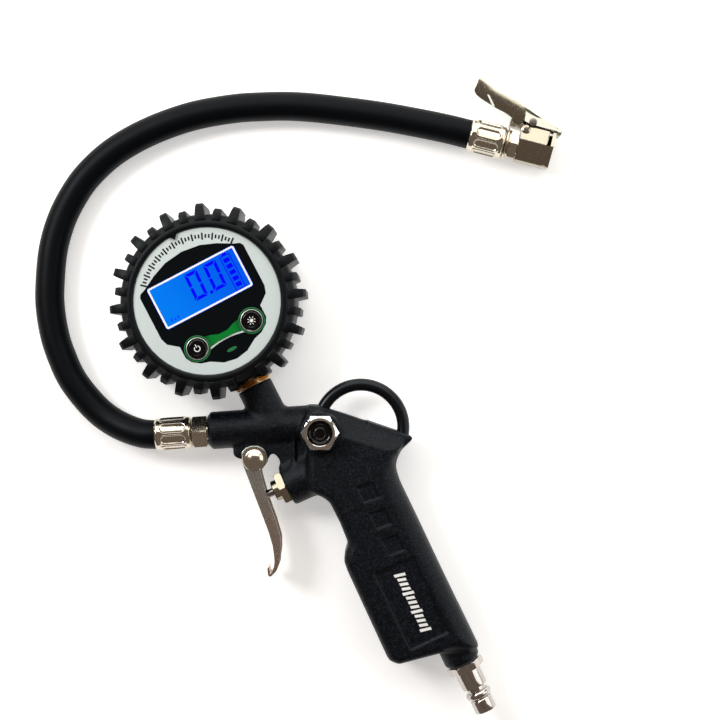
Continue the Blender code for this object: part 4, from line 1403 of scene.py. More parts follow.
@dataclass
class CastGun:
    """Powder-coated casting: receiver, barrel, bosses and grip."""

    step: float = 0.4
    barrel_at: Place = (-1.4, -54.5, MID_Z)
    barrel_axis: Place = (0.99756, 0.06976, 0.0)
    gauge_axis: Place = (0.454, -0.891, 0.0)
    valve_at: Place = (31.8, -77.9, MID_Z)
    valve_axis: Place = (0.910, 0.415, 0.0)
    inlet_at: Place = (107.0, -152.6, MID_Z)
    grip_axis: Place = (0.4305, -0.9026, 0.0)
    port_at: Place = (46.5, -54.6, 0.0)
    outline: tuple[Spot, ...] = (
        (41.0, -43.3), (50.7, -45.2), (57.0, -47.2), (80.6, -55.3), (81.6, -59.0),
        (78.6, -65.0), (78.4, -70.0), (80.2, -75.8), (88.3, -92.6),
        (97.3, -111.8), (113.7, -145.8), (110.6, -147.2), (99.0, -147.0), (79.0, -152.3),
        (75.0, -150.4), (58.0, -113.5), (56.3, -108.8), (56.8, -105.3), (58.2, -101.6),
        (54.6, -92.6), (50.3, -84.1), (46.9, -81.7), (43.0, -80.5), (41.0, -74.0),
    )
    rounding: tuple[float, ...] = (
        0.9, 0.9, 0.9, 2.0, 5.0, 8.0, 8.5, 8.5, 8.5, 8.5, 8.5, 5.5, 3.0, 3.6,
        4.4, 4.0, 4.0, 4.0, 4.0, 3.8, 3.4, 3.4, 3.4, 3.4,
    )
    spur: tuple[Spot, ...] = (
        (66.0, -50.2), (84.2, -56.3), (85.4, -57.3), (84.6, -58.6), (80.4, -62.5),
        (77.8, -67.5), (68.0, -66.0),
    )
    web: tuple[Spot, ...] = (
        (20.0, -52.0), (48.0, -50.0), (48.0, -76.0), (31.0, -74.5), (29.4, -68.7),
        (28.8, -66.4), (27.7, -64.9), (26.4, -64.0), (25.1, -64.4), (23.8, -66.6),
        (23.2, -66.8), (20.0, -62.0),
    )
    bracket: tuple[Spot, ...] = (
        (9.1, -56.0), (9.3, -64.0), (9.9, -65.3), (11.9, -66.3), (14.3, -66.4),
        (14.9, -68.2), (17.0, -69.6), (19.4, -69.7), (21.6, -68.6), (22.9, -66.6),
        (23.4, -62.0), (24.0, -55.0),
    )

    def plate(self, cast: Casting) -> None:
        """Pours the flat receiver and grip, rounder along the grip's back.

        Args:
            cast: The casting.
        """
        whole = tuple(slice(None) for _ in range(3))
        x, y, _ = cast.grid(whole)
        outline = softened(self.outline, 1.6, 4)
        pull, weight = 0.0, 0.0
        for away, radius in zip(edge_distances(x, y, self.outline), self.rounding):
            share = 1.0 / (away + 0.6) ** 4
            pull, weight = pull + share * radius, weight + share
        edge = (pull / weight).astype(np.float32)
        cast.join(*cast.slab(outline, 0.0, 25.0, edge, whole), 0.3)

    def facets(self, cast: Casting) -> None:
        """Slopes the receiver's top edge, on both faces.

        Args:
            cast: The casting.
        """
        part = cast.window((38.0, -70.0, -1.0), (90.0, -40.0, 28.0))
        x, y, z = cast.grid(part)
        inward = (x - 43.0) * -0.301 + (y + 43.3) * -0.953
        slope = math.hypot(15.1, 17.2)
        for rise in (z - 14.9, 10.1 - z):
            steep = (rise * 17.2 - (inward + 3.0) * 15.1) / slope
            cast.cut(part, -steep, 0.35)

    def bosses(self, cast: Casting) -> None:
        """Pours the barrel, the bosses, the web and the trigger bracket.

        Args:
            cast: The casting.
        """
        cast.join(*cast.rod(self.barrel_at, self.barrel_axis, 0.0, 50.0, 8.0, 0.4, 1.5), 1.6)
        cast.join(*cast.rod(CENTRE, self.gauge_axis, 39.58, 59.6, 7.65, 0.5), 1.8)
        cast.join(*cast.slab(softened(self.web, 0.6, 3), 8.0, 17.0, 0.6), 1.0)
        cast.join(*cast.slab(
            [(33.9, -50.0), (35.6, -50.0), (36.2, -73.5), (34.5, -73.5)], 6.8, 18.2, 0.6), 0.9)
        cast.join(*cast.slab(softened(self.bracket, 0.8, 3), 8.0, 17.0, 0.8), 1.0)
        cast.join(*cast.rod(self.valve_at, self.valve_axis, 0.0, 19.0, 9.0, 1.3), 2.2)
        cast.join(*cast.slab(self.spur, 5.5, 19.5, 1.0), 1.4)
        cast.join(*cast.rod(self.inlet_at, self.grip_axis, -24.0, 0.0, 7.75, 1.2), 2.2)
        cast.join(*cast.rod(self.port_at, UP, 19.0, 27.0, 8.6, 0.8), 1.8)

    def bores(self, cast: Casting) -> None:
        """Drills the openings that the fittings sit in.

        Args:
            cast: The casting.
        """
        for at, axis, start, end, radius in (
            (self.barrel_at, self.barrel_axis, -2.0, 10.4, 4.35),
            (CENTRE, self.gauge_axis, 38.0, 48.4, 4.6),
            (self.valve_at, self.valve_axis, -2.0, 26.0, 4.8),
            (self.inlet_at, self.grip_axis, -12.0, 2.0, 4.9),
            (self.port_at, UP, 9.5, 31.0, 6.2),
            ((18.5, -66.0, MID_Z), UP, -8.0, 8.0, 2.15),
        ):
            cast.cut(*cast.rod(at, axis, start, end, radius, 0.1))
        part = cast.window((40.0, -60.0, 6.0), (86.0, -40.0, 19.0))
        x, y, z = cast.grid(part)
        away = np.hypot(x - LOOP_CENTRE[0], y - LOOP_CENTRE[1])
        ring = np.hypot(away - LOOP_RADIUS, z - MID_Z) - 2.85
        cast.cut(part, ring)

    def recesses(self, cast: Casting) -> None:
        """Sinks the three squares and the label's field.

        Args:
            cast: The casting.
        """
        for i in range(3):
            x, y = 66.5 + 5.24 * i, -79.8 - 11.0 * i
            square = ((x - 4.75, y + 2.0), (x + 1.6, y + 4.25), (x + 4.75, y - 2.0),
                      (x - 1.6, y - 4.25))
            cast.cut(*cast.slab(square, 24.35, 28.0, 0.05), 0.12)
            cast.cut(*cast.slab(square, -3.0, 0.65, 0.05), 0.12)
        field = ((68.8, -113.8), (85.3, -106.8), (100.4, -138.3), (84.1, -145.8))
        cast.cut(*cast.slab(field, 24.45, 28.0, 0.05), 0.12)

    def label(self) -> None:
        """Prints a plain striped band in the label's field."""
        stock = Stock()
        run, side = Vector((0.4285, -0.9035)), Vector((0.9035, 0.4285))
        start = Vector((79.3, -113.4))
        for i in range(13):
            middle = start + run * (1.05 + 2.1 * i)
            tall = 2.35 if i in (0, 4, 8, 12) else 1.75
            lean = run * 0.5
            corners = [
                middle - side * tall - run * 0.62 - lean, middle - side * tall + run * 0.62 - lean,
                middle + side * tall + run * 0.62 + lean, middle + side * tall - run * 0.62 + lean,
            ]
            stock.plate([[(c.x, c.y) for c in corners]], 24.4, 24.52)
        stock.piece("label_stripes", "gun", LABEL_AND_HIGHLIGHT_WHITE, slot="gun_body")

    def build(self) -> bpy.types.Object:
        """Returns the casting, with its label printed."""
        cast = Casting((-3.2, -160.5, -1.2), (117.5, -30.4, 28.6), self.step)
        self.plate(cast)
        self.facets(cast)
        self.bosses(cast)
        self.recesses(cast)
        self.bores(cast)
        mesh = cast.skin("cast_gun", 2)
        self.label()
        return hand_over("cast_gun", mesh, "gun", COAT, ["gun_body"], sharp=75.0)


@dataclass
class HangingLoop:
    """Coated wire loop behind the receiver."""

    centre: Spot = LOOP_CENTRE
    radius: float = LOOP_RADIUS
    wire: float = 2.65

    def build(self) -> bpy.types.Object:
        """Returns the loop."""
        curve = bpy.data.curves.new("hang_loop", "CURVE")
        curve.dimensions = "3D"
        curve.bevel_depth = self.wire * MM
        curve.bevel_resolution = 8
        curve.use_fill_caps = True
        spots = arc(self.centre, self.radius, -20.0, 159.0, 96)
        spline = curve.splines.new("POLY")
        spline.points.add(len(spots) - 1)
        for point, (x, y) in zip(spline.points, spots):
            point.co = (x * MM, y * MM, MID_Z * MM, 1.0)
        return hand_over("hang_loop", curve, "gun", LOOP_COAT, ["hanging_loop"])


@dataclass
class HoseFitting:
    """Hexagonal fitting and barb at the barrel's mouth."""

    at: Place = (-1.4, -54.5, MID_Z)
    axis: Place = (0.99756, 0.06976, 0.0)

    def build(self) -> None:
        """Makes the fitting and its ferrule."""
        where = stand(self.at, self.axis, 90.0)
        stock = Stock().hexagon(13.0, -6.6, -0.35, 3.0, where, 0.45)
        stock.turned([
            (1.9, 8.8), (4.1, 8.8), (4.1, -0.4), (5.6, -0.4), (5.6, -6.5), (2.95, -6.7),
            (2.95, -9.0), (3.1, -12.0), (2.8, -12.4), (3.1, -16.0), (2.8, -16.4),
            (3.1, -20.0), (1.9, -21.6),
        ], where, 64, loop=True)
        stock.piece("barrel_fitting", "gun", NICKEL, "hose_fitting", sharp=24.0)
        mouth = Vector(self.at) - Vector(self.axis) * 22.6
        CrimpedFerrule(
            "barrel_ferrule", "rear_ferrule", tuple(mouth), self.axis,
            length=15.5, radius=6.95, roll=68.0,
        ).build()


@dataclass
class InletPlug:
    """Quick-connect plug at the foot of the grip."""

    at: Place = (107.0, -152.6, MID_Z)
    axis: Place = (0.4305, -0.9026, 0.0)

    def build(self) -> None:
        """Makes the plug and dresses its sealing washer."""
        where = stand(self.at, self.axis, 0.0)
        stock = Stock().hexagon(14.0, 0.9, 4.0, 4.0, where, 0.4)
        profile = [
            (3.2, 23.2), (4.2, 23.2), (4.6, 23.0), (4.8, 22.5), (4.8, 17.8), (4.55, 17.35),
            (4.1, 17.05), *[(4.1 + 1.4 * math.sin(a), 15.35 + 1.65 * math.cos(a))
                            for a in np.linspace(0.25, math.pi - 0.1, 14)],
            (4.0, 13.4), (4.0, 12.3), (4.9, 12.05), (5.4, 11.8), (5.55, 11.3), (5.55, 4.3),
            (5.3, 4.0), (4.4, 3.9), (4.4, -8.0), (3.2, -8.0),
        ]
        stock.turned(profile, where, 96, loop=True)
        stock.piece("air_plug", "gun", PLUG_CHROME, "inlet_plug", sharp=28.0)
        dress_node("inlet_seal", SEAL_RUBBER)


@dataclass
class TriggerValve:
    """Gland, stem and spring of the valve that the trigger opens."""

    at: Place = (31.8, -77.9, MID_Z)
    axis: Place = (0.910, 0.415, 0.0)

    def build(self) -> None:
        """Makes the gland and the stem."""
        where = stand(self.at, self.axis, 30.0)
        stock = Stock().hexagon(13.0, -3.2, -0.1, 4.0, where, 0.35)
        stock.turned([
            (1.95, 8.0), (4.5, 8.0), (4.5, -0.1), (6.0, -0.15), (6.0, -2.9), (4.5, -3.0),
            (4.5, -5.5), (4.2, -5.9), (1.95, -6.0),
        ], where, 72, loop=True)
        stock.piece("valve_nut", "gun", BODY_NICKEL, "valve_gland", sharp=24.0)
        Stock().turned([
            (0.0, 13.0), (3.4, 13.0), (3.6, 12.6), (3.6, 10.8), (1.75, 10.2), (1.75, -11.7),
            (1.45, -12.15), (0.9, -12.3), (0.0, -12.3),
        ], where, 48).piece("valve_plunger", "valve_stem", DARK_STEEL, "valve_stem")
        dress_node("valve_seal", SEAL_RUBBER)
        dress_node("valve_spring", STEEL)


@dataclass
class SidePort:
    """Chrome bush on the receiver's face with the bleed button in it."""

    at: Place = (46.5, -54.6, 0.0)

    def build(self) -> None:
        """Makes the bush and the button."""
        where = stand(self.at, UP)
        stock = Stock().hexagon(14.0, 27.1, 30.3, 5.6, where, 0.7, 2.1)
        stock.turned([
            (5.25, 33.0), (5.45, 33.2), (6.35, 33.2), (6.75, 32.95), (6.85, 32.5), (6.85, 30.1),
            (6.6, 29.9), (6.6, 27.5), (5.9, 27.2), (5.9, 19.5), (2.3, 19.5), (2.3, 23.4),
            (5.2, 23.6),
        ], where, 96, loop=True)
        stock.piece("port_nut", "gun", CHROME, "port_bush", sharp=24.0)
        Stock().turned([
            (0.0, 30.9), (1.9, 30.85), (2.6, 30.6), (2.9, 30.25), (3.5, 30.2), (4.3, 30.0),
            (4.8, 29.6), (4.9, 29.0), (4.9, 28.4), (2.0, 28.2), (2.0, 14.5), (0.0, 14.5),
        ], where, 64).piece("bleed_cap", "bleed_button", BUTTON_BLACK, "bleed_button")
        dress_node("bleed_spring", STEEL)


@dataclass
class StampedTrigger:
    """Pressed channel trigger on a domed rivet."""

    pivot: Place = (18.5, -66.0, MID_Z)
    half: float = 6.4
    sheet: float = 1.1
    outer: tuple[Spot, ...] = (
        (12.9, -63.6), (13.2, -67.2), (13.9, -69.3), (19.4, -83.7), (24.3, -96.5),
        (26.2, -102.8), (27.0, -109.2), (26.6, -112.3), (25.1, -115.0), (24.7, -111.9),
        (23.9, -111.9), (24.2, -115.6), (25.4, -116.0), (27.9, -113.4), (29.0, -110.5),
        (29.2, -107.9), (29.7, -104.0), (29.6, -99.4), (27.5, -92.2), (24.4, -83.7),
        (22.8, -78.6), (20.9, -71.4), (23.4, -68.2), (23.9, -65.0), (22.6, -61.9),
        (20.2, -60.6), (16.8, -60.6), (14.3, -61.7),
    )
    front: tuple[Spot, ...] = (
        (12.9, -63.6), (13.2, -67.2), (13.9, -69.3), (19.4, -83.7), (24.3, -96.5),
        (26.2, -102.8), (27.0, -109.2), (26.6, -112.3), (25.1, -115.0), (24.7, -111.9),
        (23.9, -111.9), (24.2, -115.6), (25.4, -116.0), (27.9, -113.4), (28.6, -110.2),
        (28.1, -107.5), (27.3, -102.7), (25.4, -96.5), (20.5, -83.7), (16.4, -73.1),
        (14.7, -69.4), (14.1, -66.4), (14.0, -63.4),
    )

    def build(self) -> None:
        """Makes the two walls, the front strap and the rivet."""
        low, high = MID_Z - self.half, MID_Z + self.half
        hole = arc(self.pivot[:2], 2.2, 0.0, 345.0, 24)
        walls = softened(self.outer, 0.9, 4)
        stock = Stock()
        stock.plate([walls, hole], low, low + self.sheet)
        stock.plate([walls, hole], high - self.sheet, high)
        stock.plate([softened(self.front, 0.5, 3)], low + 0.2, high - 0.2)
        stock.soften(0.16, 2, 40.0)
        stock.piece("trigger_stamping", "trigger", STAMPED, "trigger", sharp=40.0)
        head = self.half + 0.15
        Stock().turned([
            (0.0, head + 2.3), (1.0, head + 2.24), (2.0, head + 2.02), (2.9, head + 1.6),
            (3.6, head + 1.1), (4.0, head + 0.92), (4.4, head + 0.95), (4.9, head + 0.85),
            (5.15, head + 0.5), (5.15, head), (1.95, head), (1.95, -head), (4.6, -head),
            (4.6, -head - 0.8), (3.4, -head - 1.4), (0.0, -head - 1.6),
        ], stand(self.pivot, UP), 96).piece("trigger_pin", "gun", CRIMPED, "trigger_rivet")


@dataclass
class Gauge:
    """Digital gauge: boot, case, face, display and buttons."""

    roll: float = 27.5
    window_v: float = 6.35
    button: Spot = (12.6, -15.6)
    stem_angle: float = -62.5
    stem_axis: Place = (0.454, -0.891, 0.0)
    lugs: int = 32
    segments: Spot = (33.21, 33.24)
    marks: Spot = (34.05, 34.12)

    def face(self) -> Matrix:
        """Returns the face's own frame, with v towards twelve o'clock."""
        return Matrix.Rotation(math.radians(self.roll), 4, "Z")

    def box(self, width: float, height: float, radius: float, centre: Spot) -> list[Spot]:
        """Gives a box with rounded corners in the face's frame.

        Args:
            width: Its width.
            height: Its height.
            radius: Its corners' radius.
            centre: Its centre.

        Returns:
            Its outline.
        """
        spots: list[Spot] = []
        for u, v, start in ((1, 1, 0), (-1, 1, 90), (-1, -1, 180), (1, -1, 270)):
            across, along = width / 2.0 - radius, height / 2.0 - radius
            corner = (centre[0] + u * across, centre[1] + v * along)
            spots.extend(arc(corner, radius, start, start + 90, 6))
        return spots

    def lug(self, stock: Stock, index: int) -> None:
        """Adds one rib that wraps the boot's shoulder.

        Args:
            stock: The boot.
            index: Its place, counted from the stem.
        """
        angle = math.radians(self.stem_angle + 360.0 / self.lugs * index)
        tall = index % 2 == 0
        reach = 40.9 if tall else 38.8
        foot, tip = (2.25, 1.6) if tall else (1.9, 1.5)
        section = [
            (32.9, 33.4, foot * 0.8), (33.6, 34.25, foot), (36.4, 33.9, foot * 0.95),
            (reach - 1.2, 32.4, tip * 1.05), (reach, 30.0, tip), (reach, 5.0, tip),
            (reach - 2.2, 1.6, tip), (34.6, 1.2, foot),
        ]
        where = Matrix.Rotation(angle, 4, "Z")
        rows = []
        for side in (-1.0, 1.0):
            rows.append([(r, side * w, z) for r, z, w in section])
        made = [[stock.work.verts.new(where @ Vector(spot)) for spot in row] for row in rows]
        count = len(section)
        stock.work.faces.new(made[0])
        stock.work.faces.new(made[1][::-1])
        for j in range(count):
            k = (j + 1) % count
            stock.work.faces.new((made[0][j], made[1][j], made[1][k], made[0][k]))

    def boot(self) -> None:
        """Makes the rubber boot with its ribs and index tab."""
        ribs = Stock()
        for i in range(1, self.lugs):
            self.lug(ribs, i)
        ribs.soften(0.32, 2, 20.0)
        tab = Matrix.Rotation(math.radians(self.roll + 90.0), 4, "Z")
        ribs.plate([[(31.2, -2.3), (31.2, 2.3), (28.5, 0.0)]], 33.42, 34.45, tab)
        ribs.turned([
            (30.75, 33.45), (30.75, 34.1), (31.0, 34.45), (31.4, 34.6), (32.6, 34.6),
            (33.1, 34.35), (33.6, 33.6), (34.4, 32.6), (35.6, 31.6), (36.3, 30.0), (36.5, 2.0),
            (35.9, 0.7), (34.6, 0.0), (29.0, 0.0), (29.0, 1.5), (32.25, 1.5), (32.25, 33.0),
            (30.75, 33.0),
        ], Matrix.Identity(4), 192, loop=True)
        boot = ribs.piece("rubber_boot", "gun", BOOT_RUBBER, "gauge_boot", sharp=38.0)
        self.drill(boot)

    def drill(self, boot: bpy.types.Object) -> None:
        """Opens the boot where the stem's nut passes through it.

        Args:
            boot: The finished boot.
        """
        mesh = Stock().turned(
            [(0.0, 44.0), (8.6, 44.0), (8.6, 36.7), (6.6, 36.7), (6.6, 28.0), (0.0, 28.0)],
            stand(CENTRE, self.stem_axis), 48,
        ).mesh("boot_drill")
        tool = bpy.data.objects.new("boot_drill", mesh)
        bpy.context.scene.collection.objects.link(tool)
        step = boot.modifiers.new("drill", "BOOLEAN")
        step.object = tool
        step.solver = "EXACT"
        step.use_self = True
        graph = bpy.context.evaluated_depsgraph_get()
        drilled = bpy.data.meshes.new_from_object(boot.evaluated_get(graph))
        boot.modifiers.clear()
        boot.data = drilled
        bpy.data.objects.remove(tool, do_unlink=True)

    def plates(self) -> None:
        """Dresses the CAD nodes of the case, its face and the parts inside it."""
        for node, finish in (
            ("case_front", CASE_GREY), ("case_back", DOOR_BLACK), ("battery_door", DOOR_BLACK),
            ("door_screw", STEEL), ("face_plate", FACE_SILVER), ("face_panel", FACE_BLACK),
            ("circuit_board", BOARD_GREEN), ("lcd_panel", FAINT_SEGMENT),
            ("lcd_carrier", PANEL_WHITE), ("power_switch", BUTTON_BLACK),
            ("light_switch", BUTTON_BLACK), ("pressure_sensor", STEEL),
            ("battery_tray", TRAY_BLACK), ("battery_a", CELL_WRAP), ("battery_b", CELL_WRAP),
            ("contact_link", STEEL), ("contact_a", STEEL), ("contact_b", STEEL),
        ):
            dress_node(node, finish)

    def display(self) -> None:
        """Makes the backlit window, its frame and what it shows."""
        face = self.face()
        centre = (0.0, self.window_v)
        Stock().plate([self.box(40.0, 18.5, 0.9, centre)], 31.4, 33.2, face).piece(
            "display_glass", "gun", BLUE_GLASS, "lcd_window")
        Stock().plate(
            [self.box(40.0, 18.5, 0.9, centre), self.box(38.5, 17.0, 0.5, centre)],
            33.2, 33.27, face,
        ).piece("window_frame", "gun", PANEL_WHITE, slot="lcd_window")
        digits = Stock()
        for left in (-4.1, 4.6):
            self.digit(digits, left)
        low, high = self.segments
        digits.bar((2.75, 1.75, low), (4.1, 3.1, high), face)
        self.battery(digits)
        digits.piece("display_segments", "gun", SEGMENT, slot="lcd_window")
        faint = Stock()
        for i, tall in enumerate((1.5, 1.1, 1.5)):
            u = -16.9 + 1.5 * i
            faint.bar((u, -1.0, low), (u + 0.8, -1.0 + tall, high), face)
        faint.piece("unit_marks", "gun", FAINT_SEGMENT, slot="lcd_window")

    def digit(self, stock: Stock, left: float) -> None:
        """Adds a nought made of six slanted segments.

        Args:
            stock: Where the segments go.
            left: Its lower left corner along u.
        """
        face = self.face()
        low, high, wide, thick, gap = 2.0, 13.8, 5.8, 1.4, 0.2
        middle = (low + high) / 2.0

        def lean(u: float, v: float) -> Spot:
            """Returns a point of the digit, slanted."""
            return (left + u + (v - low) * 0.035, v)

        for v0, v1, out, inn in (
            (low, low + thick, 0.0, thick), (high, high - thick, 0.0, thick),
        ):
            stock.plate([[
                lean(gap + out, v0), lean(wide - gap, v0), lean(wide - inn - gap, v1),
                lean(inn + gap, v1),
            ]], *self.segments, face)
        for u0, u1 in ((0.0, thick), (wide, wide - thick)):
            for v0, v1, end in ((low, middle, 1), (high, middle, -1)):
                stock.plate([[
                    lean(u0, v0 + end * gap), lean(u1, v0 + end * (thick + gap)),
                    lean(u1, v1 - end * 0.6), lean((u0 + u1) / 2.0, v1 - end * 0.12),
                    lean(u0, v1 - end * 0.35),
                ]], *self.segments, face)

    def battery(self, stock: Stock) -> None:
        """Adds the charge symbol: an outline, a cap and five bars.

        Args:
            stock: Where the symbol goes.
        """
        face = self.face()
        outer = [(12.7, -2.0), (17.2, -2.0), (17.2, 13.6), (12.7, 13.6)]
        inner = [(13.1, -1.6), (16.8, -1.6), (16.8, 13.2), (13.1, 13.2)]
        low, high = self.segments
        stock.plate([outer, inner], low, high, face)
        stock.bar((14.0, 13.6, low), (15.9, 14.5, high), face)
        for i in range(5):
            v = -0.6 + 2.75 * i
            stock.bar((13.65, v, low), (16.25, v + 1.85, high), face)

    def scale(self) -> None:
        """Prints the tick marks along the top of the face."""
        ticks = Stock()
        for i in range(34):
            angle = math.radians(139.0 - 3.0 * i)
            long = i % 3 == 0
            where = self.face() @ Matrix.Rotation(angle, 4, "Z")
            ticks.bar(
                (25.4 if long else 26.1, -0.36, 33.3),
                (28.3 if long else 27.7, 0.36, 33.33), where,
            )
        ticks.piece("scale_ticks", "gun", PRINT_AND_SHADE_BLACK, slot="face_plate")

    def surround(self) -> None:
        """Makes the green surround of the two buttons and its pale lines."""
        face = self.face()
        u, v = self.button
        waist_top = [(-5.2, -13.1), (-2.0, -14.35), (2.0, -14.35), (5.2, -13.1)]
        waist_low = [(7.4, -17.3), (4.0, -16.9), (-4.0, -16.9), (-7.4, -17.3)]
        left = arc((-u, v), 5.5, 35.0, 332.0, 40)
        right = arc((u, v), 5.5, -152.0, 145.0, 40)
        outline = left + waist_low[::-1] + right + waist_top[::-1]
        holes = [arc((side * u, v), 4.35, 0.0, 354.0, 60) for side in (-1, 1)]
        stock = Stock().plate([outline, *holes], 33.34, 33.6, face)
        stock.piece("green_surround", "gun", GREEN, "button_surround")
        lines, rims = Stock(), Stock()
        for side in (-1, 1):
            where = Matrix.Translation(face @ Vector((side * u, v, 0.0)))
            lines.turned(
                [(5.5, 33.62), (5.1, 33.66), (5.1, 33.45), (5.5, 33.45)], where, 72, loop=True)
            rims.turned(
                [(4.62, 33.64), (4.38, 33.72), (4.34, 33.6), (4.34, 33.3), (4.62, 33.3)],
                where, 72, loop=True,
            )
        lines.piece("surround_lines", "gun", GREEN_LINE, slot="button_surround")
        rims.piece("button_rims", "gun", SILVER_LINE, slot="button_surround")
        eye = [(2.25 * math.cos(a), -22.3 + 0.72 * math.sin(a))
               for a in np.linspace(0.0, 2.0 * math.pi, 36, endpoint=False)]
        Stock().plate([eye], 33.3, 33.36, face).piece(
            "green_eye", "gun", GREEN_LINE, slot="button_surround")
        self.lens(face)

    def lens(self, face: Matrix) -> None:
        """Prints the silver edge between the surround and the dark lens below it.

        Args:
            face: The face's own frame.
        """
        top = [(u, -18.7 + 2.0 * (1.0 - (u / 11.0) ** 2)) for u in np.linspace(-11.0, 11.0, 25)]
        low = [(u, v - 0.75) for u, v in top]
        Stock().plate([low + top[::-1]], 33.3, 33.34, face).piece(
            "lens_edge", "gun", FACE_SILVER, slot="face_plate")

    def buttons(self) -> None:
        """Makes the two buttons with a plain symbol on each."""
        face = self.face()
        for name, side in (("power_button", -1), ("light_button", 1)):
            spot = face @ Vector((side * self.button[0], self.button[1], 0.0))
            where = Matrix.Translation(spot)
            Stock().turned([
                (0.0, 34.05), (2.4, 34.06), (2.9, 34.2), (3.3, 34.26), (3.7, 34.1), (3.95, 33.8),
                (4.05, 33.4), (4.05, 30.9), (4.8, 30.9), (4.8, 30.1), (1.6, 30.0), (1.6, 26.6),
                (0.0, 26.6),
            ], where, 72).piece(f"{name}_cap", name, BUTTON_BLACK, name)
            where = where @ face
            low, high = self.marks
            mark = Stock()
            if side < 0:
                outer = arc((0.0, 0.0), 1.35, 125.0, 415.0, 30)
                inner = arc((0.0, 0.0), 1.0, 415.0, 125.0, 30)
                mark.plate([outer + inner], low, high, where)
                mark.bar((-0.18, 0.5, low), (0.18, 1.9, high), where)
            else:
                mark.plate([arc((0.0, 0.0), 0.7, 0.0, 345.0, 24)], low, high, where)
                for ray in range(8):
                    turned = where @ Matrix.Rotation(math.radians(45.0 * ray), 4, "Z")
                    mark.bar((1.05, -0.14, low), (1.75, 0.14, high), turned)
            mark.piece(f"{name}_mark", name, LABEL_AND_HIGHLIGHT_WHITE, slot=name)

    def stem(self) -> None:
        """Makes the brass stem and its nut."""
        where = stand(CENTRE, self.stem_axis, 12.0)
        stock = Stock().hexagon(14.2, 36.9, 39.4, 3.8, where, 0.3)
        rings = []
        for i in range(6):
            rings += [(8.05, 37.15 + 0.36 * i), (7.6, 37.33 + 0.36 * i)]
        stock.turned([
            (1.5, 47.6), (4.4, 47.6), (4.4, 39.5), (6.9, 39.4), *rings[::-1], (6.9, 36.95),
            (5.6, 36.9), (5.6, 28.7), (6.5, 28.6), (6.5, 26.5), (1.5, 26.5),
        ], where, 72, loop=True)
        stock.piece("brass_stem", "gun", BRASS, "gauge_stem", sharp=24.0)

    def build(self) -> None:
        """Makes every piece of the gauge."""
        self.boot()
        self.plates()
        self.display()
        self.scale()
        self.surround()
        self.buttons()
        self.stem()


